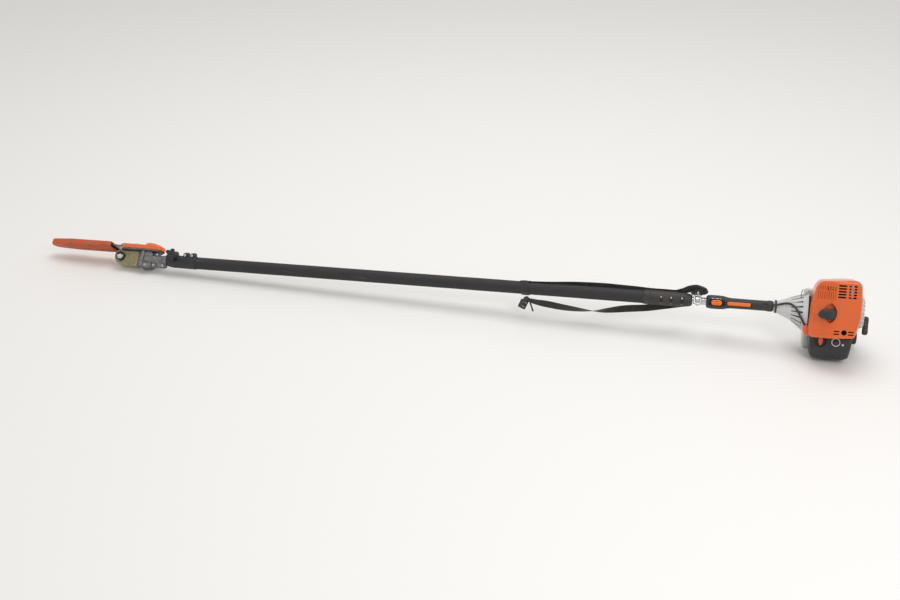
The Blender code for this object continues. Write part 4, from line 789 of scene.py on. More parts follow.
def handle_half(sign):
    """Half a superellipse, from the seam round one side and back along the seam."""
    x = np.unique(np.r_[np.linspace(2491, 2708, 90), HANDLE[:, 0]])
    centre, across, high = (np.interp(x, HANDLE[:, 0], HANDLE[:, k])[:, None] for k in (1, 2, 3))
    a = np.linspace(-pi / 2, pi / 2, 44)
    y = sign * np.maximum(across * np.abs(np.cos(a)) ** (2 / HANDLE_POWER), SEAM)
    z = centre + high * np.abs(np.sin(a)) ** (2 / HANDLE_POWER) * np.sign(a)
    return skin(np.stack([np.broadcast_to(x[:, None], z.shape), np.broadcast_to(y, z.shape), z], -1))


SOFT_BLACK = finish("soft_black_grip", (0.026, 0.026, 0.028), 0.55, dirt=(0.09, 0.075, 0.065), amount=0.25,
                    scale=40.0, skin_scale=1000.0, skin_depth=0.16)
switch_room = rounded(oblong(2498, 2553, -11, 11), 11, 8, 96)
emblem = rounded(oblong(2652, 2672, -3.6, 3.6), 3.6, 8, 64)
handle_rooms = [
    rod(2480, 2720, 13.0, steps=48),
    prism(switch_room, 18.0, 60),
    box_shape((2499, 2584), (-6.0, 6.0), (-60, -12)),
    prism(rounded(oblong(2556.5, 2641, -7.2, 7.2), 7, 6, 96), 13.2, 60),
    prism(emblem, 23.2, 40),
    rod(2660, 2720, 4.2, "x", (0, 6, 18.4), 32),
]
for side, sign in (("right", 1), ("left", -1)):
    screw_wells = [rod(sign * 12, sign * 60, 3.6, "y", (x, 0, z), 24) for x, z in HANDLE_SCREWS]
    make(f"handle_{side}_moulding", handle_half(sign), SOFT_BLACK, "powerhead",
         [f"handle_{side}_shell"], cuts=handle_rooms + screw_wells, bevel=0.5, sharp=32, bevel_angle=42)
screws("handle_screw", [screw_head(x, 12.2, z, 3.2, "y", 2.0) for x, z in HANDLE_SCREWS])

SWITCH_ORANGE = finish("switch_orange", (0.86, 0.17, 0.012), 0.38, dirt=(0.30, 0.12, 0.05), amount=0.18,
                       scale=60.0, skin_scale=1400.0, skin_depth=0.06)
switch_base = slab(rounded(oblong(2508.5, 2542.5, -8.8, 8.8), 8.7, 10, 120), 19, 29.6,
                   2.6, steps=6)
switch_ribs = [slab(rounded(oblong(x - 0.9, x + 0.9, -7.5, 7.5), 0.8, 4, 32), 28.5,
                    31.3 - 0.25 * abs(x - 2526), 0.7) for x in (2521.2, 2524.4, 2527.6, 2530.8)]
make("slide_switch_moulding", together([switch_base, *switch_ribs]), SWITCH_ORANGE, "stop_switch",
     ["slide_switch"])
MARKING = finish("white_marking", (0.75, 0.75, 0.73), 0.5, amount=0.35, scale=200.0, skin_depth=0.0)
marks = [slab(rounded(oblong(x, x + w, 12.8, 14.6), 0.6, 4, 32), z, z + 1.6, 0.3)
         for x, w, z in ((2509, 6, 25.1), (2517.5, 3, 25.2), (2523.5, 8, 25.3), (2534.5, 5, 25.2))]
make("switch_marks", together(marks), MARKING, "powerhead")
lockout_side = rounded([(2559, 20.5), (2560, 26.0), (2565, 28.6), (2630, 27.6), (2636, 25.2), (2637, 20.5),
                        (2633, 18.5), (2562, 18.5)], 2.5, 5, 140)
lockout_piece = slab(lockout_side, -6.0, 6.0, 2.4, "xz", 5)
make("lockout_moulding", lockout_piece, SWITCH_ORANGE, "lockout", ["throttle_lockout"],
     sharp=45)
trigger_side = rounded([(2502, -16), (2512, -14.5), (2520, -22), (2572, -26.5), (2578, -31), (2570, -36),
                        (2548, -37), (2528, -33), (2508, -28), (2502, -22)], 4, 6, 160)
make("trigger_moulding", slab(trigger_side, -4.5, 4.5, 2.0, "xz", 5), BLACK, "trigger",
     ["throttle_trigger"], sharp=45)

# --------------------------------------------------------------------------------------------------
# Pole: a 36 mm outer tube under a black foam hose of 45 mm, joined by a moulded sleeve to the 25.4 mm drive
# tube. The sleeve's three pockets hold the screws that pinch it on the tubes.
JOINER_SCREWS_X = (2343.0, 2376.0, 2412.0)


def surface_wave(points, size, depth):
    """Moves places out from the axis: depth·(sin(x/size + 2a) + 0.6·sin(x/(0.43·size) − 3a + 1.3))."""
    x, y, z = points.T
    a = np.arctan2(z, y)
    swell = depth * (np.sin(x / size + 2 * a) + 0.6 * np.sin(x / (0.43 * size) - 3 * a + 1.3))
    r = np.maximum(np.hypot(y, z), 1e-6)
    return np.c_[x, y * (1 + swell / r), z * (1 + swell / r)]


hose_x = np.linspace(622.5, 2279.5, 420)
hose_profile = np.vstack([[(621.5, 18.4), (621.5, 21.6), (622.0, 22.2)], np.c_[hose_x, np.full(420, 22.38)],
                          [(2280.0, 22.2), (2280.5, 21.6), (2280.5, 18.4)]])
hose_points, hose_faces = turned(hose_profile, steps=80, hollow=True)
outer = np.hypot(hose_points[:, 1], hose_points[:, 2]) > 20
hose_points[outer] = surface_wave(hose_points[outer], 33.0, 0.08)
HOSE_WEAR = ((0.085, 0.080, 0.075), 34.0, 0.40)
FOAM_HOSE = finish("foam_hose_skin", (0.017, 0.017, 0.020), 0.58, dirt=(0.048, 0.042, 0.036), amount=0.55,
                   scale=16.0, skin_scale=650.0, skin_depth=0.35, streak=HOSE_WEAR)
make("foam_hose_tube", (hose_points, hose_faces), FOAM_HOSE, "powerhead", ["foam_hose"],
     sharp=50)

ALUMINIUM = finish("drawn_aluminium", (0.62, 0.63, 0.65), 0.27, dirt=(0.30, 0.28, 0.26), amount=0.18,
                   scale=40.0, metallic=1.0, skin_depth=0.0, streak=((0.58, 0.59, 0.62), 220.0, 0.52))


def tube_shape(low, high, outside, inside):
    """A plain tube with its four edges eased."""
    return turned(soften([(low, inside), (low, outside), (high, outside), (high, inside)], 0.4, 3),
                  hollow=True, steps=80)


make("drive_tube_drawn", tube_shape(2338, 2740, 12.7, 11.0), ALUMINIUM, "powerhead",
     ["drive_tube"])
make("outer_tube_drawn", tube_shape(548, 2330, 18.0, 16.5), ALUMINIUM, "powerhead",
     ["outer_tube"])
make("inner_tube_drawn", tube_shape(442, 2150, 14.0, 12.25), ALUMINIUM, "cutting_head",
     ["inner_tube"])

joiner_profile = soften([(2281, 18.4), (2281, 23.2), (2287, 24.6), (2303, 24.8), (2304, 24.0), (2306, 24.0),
                         (2307, 24.8), (2423, 24.0), (2442, 19.5), (2445, 17.0), (2445, 13.0), (2330.3, 13.0),
                         (2330.3, 18.4)], 1.6, 4)
joiner_cuts = []
for x in JOINER_SCREWS_X:
    pocket = rounded(oblong(x - 5, x + 5, -11, 10), 3.5, 6, 64)
    joiner_cuts.append(prism(pocket, 17.5, 40))
    joiner_cuts.append(rod(15, 40, 1.7, "z", (x, -16.0, 0), 20))
DUSTY_BLACK = finish("dusty_black_moulding", (0.022, 0.021, 0.022), 0.48, dirt=(0.085, 0.066, 0.052),
                     amount=0.55, scale=26.0, skin_scale=1200.0, skin_depth=0.14)
make("tube_joiner_moulding", turned(joiner_profile, hollow=True, steps=96), DUSTY_BLACK, "powerhead",
     ["tube_joiner"], cuts=joiner_cuts, bevel=0.5, sharp=34, bevel_angle=42)
joiner_heads = [screw_head(x, 5.2, 17.3, 3.8, "z", 3.4) for x in JOINER_SCREWS_X]
joiner_heads += [screw_head(x, -16.0, 15.2, 1.5, "z", 2.4) for x in JOINER_SCREWS_X]
screws("joiner_screw", joiner_heads)

# --------------------------------------------------------------------------------------------------
# Front clamp: a split black moulding that grips the inner tube when its star knob is turned, with two
# screws that hold it on the outer tube.
KNOB_X = 530.0
CLAMP_SCREWS_X = (578.0, 606.0)
LUG_Y = 28.0
clamp_profile = soften([(504, 14.5), (504, 19.5), (512, 21.4), (528, 23.6), (606, 24.3), (607.5, 23.6),
                        (609.5, 23.6), (611, 24.4), (618, 24.4), (621, 23.3), (621, 18.3), (547.7, 18.3),
                        (547.7, 14.5)], 1.2, 4)


def lug(x, radius):
    """A screw lug: straight sides and a round end, standing out from the sleeve."""
    a = np.linspace(0, pi, 24)
    end = np.stack([x - radius * np.cos(a), LUG_Y + radius * np.sin(a)], -1)
    outline = np.vstack([[(x - radius, 16.0)], end, [(x + radius, 16.0)]])
    return slab(even(outline, 96), -13.0, 13.0, 1.2)


clamp_cuts = [turned([(494, 14.5), (547.7, 14.5), (547.7, 18.3), (631, 18.3)], steps=64),
              box_shape((499, 626), (12, 50), (-1, 1))]
clamp_cuts += [rod(-30, 30, 3.6, "z", (x, LUG_Y, 0), 24) for x in (KNOB_X, *CLAMP_SCREWS_X)]
make("front_clamp_moulding", turned(clamp_profile, hollow=True, steps=96), BLACK, "powerhead",
     ["front_clamp"], joins=[lug(KNOB_X, 10.0), *(lug(x, 8.5) for x in CLAMP_SCREWS_X)],
     cuts=clamp_cuts, bevel=0.5, sharp=34, bevel_angle=42)
screws("front_clamp_screw", [screw_head(x, LUG_Y, 13.1, 5.2, "z", 4.2) for x in CLAMP_SCREWS_X])
knob_a = round_trip(160)
knob_r = 20.0 + 4.5 * np.cos(5 * knob_a) - 0.8 * np.cos(10 * knob_a)
knob_star = np.stack([KNOB_X + knob_r * np.cos(knob_a), LUG_Y + knob_r * np.sin(knob_a)], -1)
knob_shapes = [
    slab(knob_star, 25.0, 38.0, 3.4, steps=6),
    turned([(13.3, 5.5), (14.0, 6.2), (26.0, 7.5)], "z", (KNOB_X, LUG_Y, 0), 48),
    turned([(36, 11.0), (38.6, 10.2), (39.4, 8.0), (39.4, 0.4)], "z", (KNOB_X, LUG_Y, 0), 48),
    rod(-12, 14, 3.1, "z", (KNOB_X, LUG_Y, 0), 24),
]
make("star_knob_moulding", together(knob_shapes), BLACK, "clamp_knob", ["star_knob"])

# --------------------------------------------------------------------------------------------------
# Carrying strap: black polyester webbing of 28 mm, 2 mm thick. It is looped round the hose in front, runs
# loosely along both sides of the pole and is clipped by a steel snap hook to an eyelet clamp on the drive
# tube.
weave, weave_in, weave_out = node_group("weave", [("Vector", "Vector", None), ("Pitch", "Float", 1.6)],
                                        [("Height", "Float"), ("Thread", "Float")])
parts_of = add(weave, "SeparateXYZ", {0: weave_in.outputs["Vector"]})
across_wave = add(weave, "Math", {0: parts_of.outputs[0], 1: weave_in.outputs["Pitch"]}, operation="MULTIPLY")
along_wave = add(weave, "Math", {0: parts_of.outputs[1], 1: weave_in.outputs["Pitch"]}, operation="MULTIPLY")
both_ways = add(weave, "Math", {0: across_wave.outputs[0], 1: along_wave.outputs[0]}, operation="ADD")
fine_rib = add(weave, "Math", {0: both_ways.outputs[0]}, operation="SINE")
half_wave = add(weave, "Math", {0: along_wave.outputs[0], 1: 0.5}, operation="MULTIPLY")
cross_rib = add(weave, "Math", {0: half_wave.outputs[0]}, operation="SINE")
crossed = add(weave, "Math", {0: fine_rib.outputs[0], 1: cross_rib.outputs[0]}, operation="MULTIPLY")
weave.links.new(crossed.outputs[0], weave_out.inputs["Height"])
lit = add(weave, "MapRange", {"Value": crossed.outputs[0], "From Min": -1.0, "From Max": 1.0})
weave.links.new(lit.outputs[0], weave_out.inputs["Thread"])

WEBBING = bpy.data.materials.new("black_webbing")
WEBBING.use_nodes = True
web = WEBBING.node_tree
web_uv = add(web, "UVMap", uv_map="weave").outputs[0]
woven = group_node(web, weave, {"Vector": web_uv, "Pitch": 3.9})
web_colour = add(web, "Mix", {0: woven.outputs["Thread"], 6: (0.006, 0.006, 0.007, 1),
                              7: (0.020, 0.020, 0.022, 1)}, data_type="RGBA")
web_dust = group_node(web, dust, {"Vector": add(web, "TexCoord").outputs["Object"],
                                  "Colour": web_colour.outputs[2], "Dirt": (0.10, 0.09, 0.08, 1),
                                  "Scale": 40.0, "Amount": 0.3, "Roughness": 0.78})
web_bump = add(web, "Bump", {"Height": woven.outputs["Height"], "Strength": 0.6, "Distance": 0.0004})
web_shader = web.nodes["Principled BSDF"]
web.links.new(web_dust.outputs["Colour"], web_shader.inputs["Base Color"])
web.links.new(web_dust.outputs["Roughness"], web_shader.inputs["Roughness"])
web.links.new(web_bump.outputs[0], web_shader.inputs["Normal"])
web_shader.inputs["Sheen Weight"].default_value = 0.25
web_shader.inputs["Sheen Roughness"].default_value = 0.5


STRAP_SECTION = 14


def webbing(name, knots, width, thick, count, replaces=()):
    """A strap: its middle runs smoothly through the knots, its width lies along each knot's direction, its
    section is a flat oval, and its UV is millimetres across and along."""
    middle = flow([k[0] for k in knots], count)
    wide = flow([k[1] for k in knots], count)
    wide /= np.linalg.norm(wide, axis=1, keepdims=True)
    along = np.gradient(middle, axis=0)
    along /= np.linalg.norm(along, axis=1, keepdims=True)
    wide -= along * np.sum(wide * along, 1, keepdims=True)
    wide /= np.linalg.norm(wide, axis=1, keepdims=True)
    thin = np.cross(along, wide)
    a = round_trip(STRAP_SECTION)
    u = width / 2 * np.abs(np.cos(a)) ** 0.35 * np.sign(np.cos(a))
    v = thick / 2 * np.abs(np.sin(a)) ** 0.8 * np.sign(np.sin(a))
    rings = middle[:, None] + wide[:, None] * u[:, None] + thin[:, None] * v[:, None]
    points, faces = skin(rings)
    mesh = bpy.data.meshes.new(name)
    mesh.from_pydata(lie(points).tolist(), [], faces)
    run = np.r_[0, np.cumsum(np.linalg.norm(np.diff(middle, axis=0), axis=1))]
    grid = (count, STRAP_SECTION)
    flat = np.stack([np.broadcast_to(u, grid), np.broadcast_to(run[:, None], grid)], -1).reshape(-1, 2)
    corner = np.empty(len(mesh.loops), int)
    mesh.loops.foreach_get("vertex_index", corner)
    layer = mesh.uv_layers.new(name="weave")
    layer.data.foreach_set("uv", flat[corner].ravel())
    bm = bmesh.new()
    bm.from_mesh(mesh)
    bmesh.ops.recalc_face_normals(bm, faces=bm.faces)
    bm.to_mesh(mesh)
    bm.free()
    mesh.materials.append(WEBBING)
    mesh.shade_smooth()
    mesh.set_sharp_from_angle(angle=radians(50))
    piece = bpy.data.objects.new(name, mesh)
    bpy.context.scene.collection.objects.link(piece)
    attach(piece, "powerhead")
    if replaces:
        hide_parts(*replaces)


DOWN = np.array([0.0, -sin(POLE_ROLL), -cos(POLE_ROLL)])
ACROSS = np.array([0.0, cos(POLE_ROLL), -sin(POLE_ROLL)])
BACK = np.array([1.0, 0.0, 0.0])
UP = np.array([0.0, 0.0, 1.0])


def leaning(x, radius, turn, share):
    """A place where the strap touches the hose at a turn below its right side, and stands up by a share."""
    outward = np.array([0.0, cos(radians(turn)), -sin(radians(turn))])
    upward = np.array([0.0, sin(radians(turn)), cos(radians(turn))])
    return BACK * x + outward * radius + upward * 14 * share, upward


UPPER_KNOTS = [  # x, radius, turn below the right side, share standing up
    (1900, 23.8, 6, 0.0), (1970, 23.8, 22, 0.3), (2050, 24.2, 48, 0.75), (2140, 24.4, 58, 1.0),
    (2210, 25.0, 48, 0.8), (2262, 27.5, 40, 0.4), (2305, 28.6, 38, 0.0), (2350, 28.6, 38, 0.0),
    (2392, 28.4, 34, 0.0),
]
upper_knots = [((1856.0, 23.8, 0.0), UP), ((1872.0, 24.6, 0.0), UP)]
upper_knots += [leaning(*k) for k in UPPER_KNOTS]
upper_knots += [
    ((2414.0, 29.0, -6.0), (0.0, 0.7, 0.7)), ((2436.0, 38.0, 0.0), (0.0, 0.85, 0.5)),
    ((2458.0, 45.0, 5.0), (0.0, 0.7, 0.7)), ((2478.0, 43.0, 9.0), (0.0, 0.5, 0.87)),
    ((2487.0, 37.0, 9.0), (0.0, 0.7, 0.7)), ((2482.0, 32.0, 7.0), (0.0, 0.8, 0.6)),
    ((2464.0, 29.0, 5.0), (0.0, 0.8, 0.6)), ((2440.0, 24.0, 0.0), (0.0, 0.5, 0.87)),
]
webbing("strap_upper_run", upper_knots, 27.0, 1.9, 220, ["strap_upper"])
wrap_a = np.linspace(0, 2 * pi * 1.06, 26)
webbing("strap_wrap", [((1872.0 + 1.5 * a, 24.6 * cos(a), 24.6 * sin(a)), BACK) for a in wrap_a], 27.0, 1.9,
        160)


def hanging(x, drop, twist, aside=-4.0):
    """A place on the hanging run: 30 mm and the drop below the pole, its width turned by the twist."""
    place = BACK * x + DOWN * (30.0 + drop) + ACROSS * aside
    return place, ACROSS * cos(radians(twist)) + DOWN * sin(radians(twist))


LOWER_KNOTS = [  # x, drop, twist, place to the side
    (1872, 4, 62), (1884, 14, 62), (1915, 21, 75), (1953, 26, 92), (2015, 34, 80), (2080, 38, 50),
    (2120, 38, 20, -3), (2160, 33, -12, -2), (2221, 23, -38, 2), (2295, 16, -35, 8), (2345, 10, -35, 18),
    (2392, 4, -55, 30), (2436, -4, -65, 34),
]
lower_knots = [hanging(*k) for k in LOWER_KNOTS]
webbing("strap_lower_run", lower_knots, 26.0, 1.9, 220, ["strap_lower"])
tail_knots = [hanging(1888, 12, 70, -10), hanging(1896, 32, 78, -11), hanging(1902, 54, 84, -12)]
webbing("strap_tail", tail_knots, 9.0, 1.6, 40)
webbing("strap_front_tail", [hanging(1888, 4, 66, -7), hanging(1874, 14, 60, -9), hanging(1864, 26, 52, -10),
                             hanging(1858, 38, 48, -10)], 25.0, 1.8, 60)

buckle_outline = rounded(oblong(-14, 14, -17, 17), 4, 6, 96)
window = rounded(oblong(-9.5, 9.5, -11.0, -6.2), 2, 5, 64)
buckle_body = slab(buckle_outline, -3.4, 3.4, 1.8, "xz", 5)
buckle_tools = [prism(w, -8, 8, "xz") for w in (window, window * (1, -1))]


def at_buckle(shape):
    """The buckle's shapes turned to lie along the strap's start, below the hose."""
    points, faces = shape
    return points @ spin_y(radians(24)).T @ spin_x(-POLE_ROLL).T + hanging(1866, 33, 0)[0], faces


make("strap_slider", at_buckle(buckle_body), BLACK, "powerhead", ["strap_buckle"],
     cuts=[at_buckle(t) for t in buckle_tools], bevel=0.3)

EYE_X = 2463.0
EYE_Y = 27.0
BRIGHT = finish("bright_zinc", (0.62, 0.63, 0.64), 0.24, dirt=(0.30, 0.28, 0.25), amount=0.22, scale=120.0,
                metallic=1.0, skin_scale=900.0, skin_depth=0.03)
ear_outline = rounded([(13.2, -5.5), (20, -9), (30, -9), (35.5, -5), (35.5, 5), (30, 9), (20, 9),
                       (13.2, 5.5)], 3, 6, 96)
clamp_band = turned(soften([(2456, 13.0), (2456, 15.6), (2470, 15.6), (2470, 13.0)], 0.8, 4), hollow=True,
                    steps=80)
make("eyelet_clamp", clamp_band,      BRIGHT, "powerhead", ["carrying_eyelet"],
     joins=[slab(ear_outline, 2460.2, 2465.8, 1.0, "yz"),
            slab(rounded([(-7, 12), (7, 12), (5.5, 21), (-5.5, 21)], 2.5, 6, 64), 2457.5, 2468.5, 1.0, "yz")],
     cuts=[rod(2440, 2490, 5.2, "x", (0, EYE_Y, 0), 40),
           rod(2440, 2490, 1.6, "x", (0, 0, 17.5), 24)], bevel=0.3, sharp=40)
screws("eyelet_clamp_screw", [screw_head(2468.3, 0, 17.5, 3.2, "x", 2.6)])
LEAN = np.array([0.0, -0.68, 0.733])


def on_hook(x, down):
    """A place on the snap hook: across it and down it from the eyelet's hole."""
    return np.array([EYE_X, EYE_Y, 0.0]) + BACK * x + LEAN * down


hook_a = np.linspace(-3 * pi / 8, pi / 2, 12)
far_a = np.linspace(0, pi, 14)
hook_path = [on_hook(10, 14.0)] + [on_hook(-10 * sin(a), 10 - 10 * cos(a)) for a in hook_a]
hook_path += [on_hook(-10, y) for y in (18, 26, 34)] + [on_hook(-10 * cos(a), 42 + 10 * sin(a))
                                                        for a in far_a]
hook = line("snap_hook_wire", hook_path, 2.8, BRIGHT, "powerhead", count=120)
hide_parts("snap_hook")
gate_bar = swept([on_hook(10, d) for d in np.linspace(17.2, 38.0, 12)], ring_of(2.3, 24), (0, 1, 0))
make("snap_hook_gate_bar", gate_bar, BRIGHT, "hook_gate", ["snap_hook_gate"])
swivel = swept([on_hook(0, d) for d in np.linspace(50.5, 57.5, 8)], ring_of(3.6, 24), (1, 0, 0))
make("snap_hook_swivel", swivel, BRIGHT, "powerhead", bevel=0.5)

# --------------------------------------------------------------------------------------------------
# Gear head: a grimy magnesium casting clamped on the inner tube. It holds the bevel gears, the bar's seat
# and stud, and the screws that close it.
GEAR_X = 408.0
BAR_Y = 41.0
STUD_X = 358.0
PAD_R = 29.2
CASTING = finish("magnesium_casting", (0.27, 0.27, 0.285), 0.40, dirt=(0.075, 0.062, 0.050), amount=0.72,
                 scale=75.0, metallic=0.75, skin_scale=800.0, skin_depth=0.35)


def pill(x0, x1, y0, y1, low, high, corner, edge, plane="xy", count=120):
    """A block with rounded corners and eased edges."""
    corner = min(corner, (x1 - x0) / 2.01, (y1 - y0) / 2.01)
    return slab(rounded([(x0, y0), (x1, y0), (x1, y1), (x0, y1)], corner * 1.3, 7, count), low, high, edge,
                plane)


head_outline = rounded([(388, -30), (400, -34), (430, -34), (441, -26), (441, 22), (434, 29.5),
                        (388, 29.5)], 7, 6, 140)
neck = turned(soften([(430, 0.5), (430, 19.5), (447, 19.5), (452, 17.6), (484, 17.6), (487, 19.3),
                      (497, 19.3), (500, 18), (500, 0.5)], 1.5, 4), steps=80)
pad_ends = [np.stack([x + PAD_R * np.cos(a), PAD_R * np.sin(a)], -1)
            for x, a in ((440, np.linspace(-pi / 2, pi / 2, 40)), (331, np.linspace(pi / 2, 3 * pi / 2, 40)))]
pad = slab(even(np.vstack(pad_ends), 200), 28.6, 32.5, 0.8, "xz")
lower_lug = pill(438, 500, -29, -8, -8.5, 8.5, 8, 2.0)
upper_lug = pill(420, 466, 8, 26, -8.5, 8.5, 8, 2.0)
front_lug = pill(366, 396, -33, -16, -8.5, 9.5, 8, 2.0)
cast_rib = pill(397, 408, -33, 30, 10, 24, 4, 2.5)
bar_seat = pill(331, 386, -8, 8, 30, 39.7, 7, 0.8, "xz")
shaft_boss = turned([(27, 15.4), (33.4, 15.4), (34, 14.8)], "y", (GEAR_X, 0, 0), 56)
top_boss = turned(soften([(12, 0.5), (12, 13), (21, 13), (23.5, 11), (23.5, 0.5)], 1.5, 4), "z",
                  (424, -3, 0), 56)
rooms = [rod(441.7, 520, 14.3, steps=64), rod(GEAR_X, 448, 12.2, steps=48),
         rod(-22, 2, 17.3, "y", (GEAR_X, 0, 0), 56), rod(-31, 49, 6.4, "y", (GEAR_X, 0, 0), 40),
         rod(-30.5, -21.5, 9.5, "y", (GEAR_X, 0, 0), 48), rod(19, 49, 11.3, "y", (GEAR_X, 0, 0), 48)]
slit = box_shape((446, 505), (-40, -14), (-0.9, 0.9))
make("gear_head_casting", slab(head_outline, -30, 19, 4.5, steps=6), CASTING, "cutting_head",
     ["gear_housing"], joins=[neck, pad, lower_lug, upper_lug, front_lug, cast_rib, bar_seat, shaft_boss,
                              top_boss], cuts=[*rooms, slit], bevel=0.6, sharp=34, bevel_angle=44)
threads = [(63 - 1.0 * k, 4.0 - 0.35 * (k % 2)) for k in range(1, 14)]
make("bar_stud", turned([(29, 4.0), *threads[::-1], (63, 3.3)], "y", (STUD_X, 0, 0), 32), ZINC,
     "cutting_head", sharp=50)
head_screws = [(375, -27, 9.5, 4.4), (419, -27.5, 18.8, 4.4), (449, -22.5, 8.5, 4.2), (488, -22.5, 8.5, 4.4),
               (428, 20.5, 8.5, 4.0), (456, 19, 8.5, 4.6)]
screws("gear_head_screw", [screw_head(x, y, z - 0.4, r, "z", 4.2) for x, y, z, r in head_screws],
       "cutting_head")

# --------------------------------------------------------------------------------------------------
# Oil tank: blow-moulded translucent plastic, stained olive by chain oil, with a big black screw cap that
# has a pale bar and button, and a pale crescent on its lower half that is a painted highlight.
TANK_SIDE = [(282, -6), (282, 16), (293, 27.5), (384, 27.5), (384, -26), (378, -31), (326, -31), (298, -25)]
OLIVE = finish("olive_tank", (0.235, 0.205, 0.085), 0.26, dirt=(0.40, 0.37, 0.23), amount=0.75, scale=42.0,
               skin_scale=500.0, skin_depth=0.08, Subsurface_Weight=0.2, Subsurface_Scale=0.006,
               Coat_Weight=0.3)
CAP_X = 313.0
tank_dent = slab(rounded(oblong(340, 362, -20, 16), 9, 6, 96), 12.4, 40, 1.5)
make("oil_tank_moulding", slab(rounded(TANK_SIDE, 9, 7, 200), -26, 15, 7.0, steps=8), OLIVE, "cutting_head",
     ["oil_tank"], joins=[turned([(10, 13), (19.4, 13), (20, 12.4)], "z", (CAP_X, 0, 0), 64)],
     cuts=[rod(5, 35, 10.1, "z", (CAP_X, 0, 0), 48), tank_dent], bevel=0.8, sharp=40, bevel_angle=44)
oil_cap_profile = [(8, 9.5), (20.4, 9.5), (20.4, 13.5), (15.7, 13.5), (15.7, 16.6), (16.6, 17.2),
                   (26.0, 17.2), (27.4, 16.2), (28.2, 14.6), (27.4, 12.9), (25.2, 12.4), (25.2, 0.4)]
make("oil_cap_moulding", turned(oil_cap_profile, "z", (CAP_X, 0, 0), 144, waves=24, depth=0.45), BLACK,
     "oil_filler_cap", ["oil_cap"])
cap_bar = pill(CAP_X - 12.2, CAP_X + 12.2, -2.6, 2.6, 24.6, 28.8, 2.4, 1.1)
# Painted highlight: a pale crescent over the cap's lower half, where light glints on the black cap.
half = np.linspace(pi * 1.02, pi * 1.98, 40)
highlight_crescent = np.vstack([np.stack([CAP_X + 12 * np.cos(half), 12 * np.sin(half)], -1),
                      np.stack([CAP_X + 5 * np.cos(half[::-1]), 5 * np.sin(half[::-1]) - 0.5], -1)])
INSERT_AND_HIGHLIGHT = finish("pale_insert_and_highlight", (0.70, 0.70, 0.68), 0.34, dirt=(0.25, 0.21, 0.15), amount=0.35,
                scale=120.0, skin_depth=0.04)
cap_button = turned([(24.6, 5.6), (29.0, 5.6), (29.8, 4.6), (29.9, 0.4)], "z", (CAP_X, 0, 0), 48)
insert_and_highlight_shapes = [cap_bar, slab(even(highlight_crescent, 120), 24.8, 26.8, 0.5), cap_button]
make("oil_cap_insert_and_highlight", together(insert_and_highlight_shapes), INSERT_AND_HIGHLIGHT, "oil_filler_cap")

# --------------------------------------------------------------------------------------------------
# Sprocket cover: a glossy orange moulding bolted over the bar's rear end. It bulges over the sprocket.


def stadium(x0, r0, x1, r1, count=40):
    """The outline of a belt round two circles on the x axis, tangent to both."""
    lean = np.arcsin((r1 - r0) / (x1 - x0))
    right = np.linspace(-pi / 2 - lean, pi / 2 + lean, count)
    left = np.linspace(pi / 2 + lean, 3 * pi / 2 - lean, count)
    return np.vstack([np.stack([x1 + r1 * np.cos(right), r1 * np.sin(right)], -1),
                      np.stack([x0 + r0 * np.cos(left), r0 * np.sin(left)], -1)])


def dome_rings(table, count=72):
    """Ovals across y, each from a low to a high x with a half height, a little fuller in front."""
    a = round_trip(count)
    y, low, high, half_high = (table[:, k, None] for k in range(4))
    x = (low + high) / 2 + (high - low) / 2 * np.cos(a)
    z = half_high * np.sin(a) * (1 - 0.12 * np.cos(a))
    return np.stack([x, np.broadcast_to(y, x.shape), z], -1)


COVER_GLOSS = finish("glossy_orange", (0.82, 0.135, 0.010), 0.16, dirt=(0.28, 0.12, 0.06), amount=0.35,
                     scale=55.0, skin_depth=0.0, streak=((0.60, 0.22, 0.12), 90.0, 0.36), Coat_Weight=0.6,
                     Coat_Roughness=0.08)
dome_table = flow([(44.0, 394.0, 476.5, 30.6), (49.5, 394.6, 472.5, 29.6), (54, 396.2, 466, 27.4),
                   (58.5, 399.5, 456, 23.4), (61.8, 404.5, 445, 17.5), (63.4, 410.5, 435, 10.5),
                   (63.9, 417.0, 427, 4.0)], 30)
room_table = flow([(40.0, 399.0, 470.0, 26.0), (52.0, 401.5, 461.0, 23.5), (57.5, 407.0, 446.0, 17.0)], 10)
cover_outline = even(stadium(329, 33, 448, 29.5), 240)
inner_outline = even(stadium(329, 30.5, 448, 26.5), 200)
make("sprocket_cover_moulding", slab(cover_outline, 32.9, 49.5, 3.6, "xz", 7), COVER_GLOSS, "cutting_head",
     ["sprocket_cover"], joins=[skin(dome_rings(dome_table))],
     cuts=[prism(inner_outline, 20, 47, "xz"), skin(dome_rings(room_table)),
           box_shape((280, 317), (20, 47), (-31, 31)), rod(40, 70, 4.6, "y", (STUD_X, 0, 0), 32)],
     bevel=0.5, sharp=34, bevel_angle=44)
hexagon = np.arange(6) * pi / 3
nut_outline = rounded(np.stack([STUD_X + 9.2 * np.cos(hexagon), 9.2 * np.sin(hexagon)], -1), 1.2, 4, 72)
washer = turned([(49.8, 10.6), (51.2, 10.6), (51.4, 10.2)], "y", (STUD_X, 0, 0), 48)
make("bar_nut_zinc", together([slab(nut_outline, 51.0, 58.2, 1.0, "xz"), washer]), ZINC, "cutting_head",
     ["bar_nut"], cuts=[rod(45, 70, 4.25, "y", (STUD_X, 0, 0), 32)], sharp=30)

# --------------------------------------------------------------------------------------------------
# Saw chain: low-profile steel chain. Drive links run in the bar's groove, and tie straps stand on both
# sides of them. Left and right cutters take the place of some straps in turn.
TRACK = [(31.0, 16.0), (175.0, 26.0), (GEAR_X, 14.0)]
PITCH_MM = 8.2


def track_line(grow, count):
    """The belt round the chain's guiding circles, out from them by grow: the farthest place each way."""
    turn = round_trip(720)
    ways = np.stack([np.cos(turn), np.sin(turn)], -1)
    places = np.stack([np.array([x, 0.0]) + (r + grow) * ways for x, r in TRACK])
    reach = np.sum(places * ways, -1)
    return even(places[np.argmax(reach, 0), np.arange(720)], count)


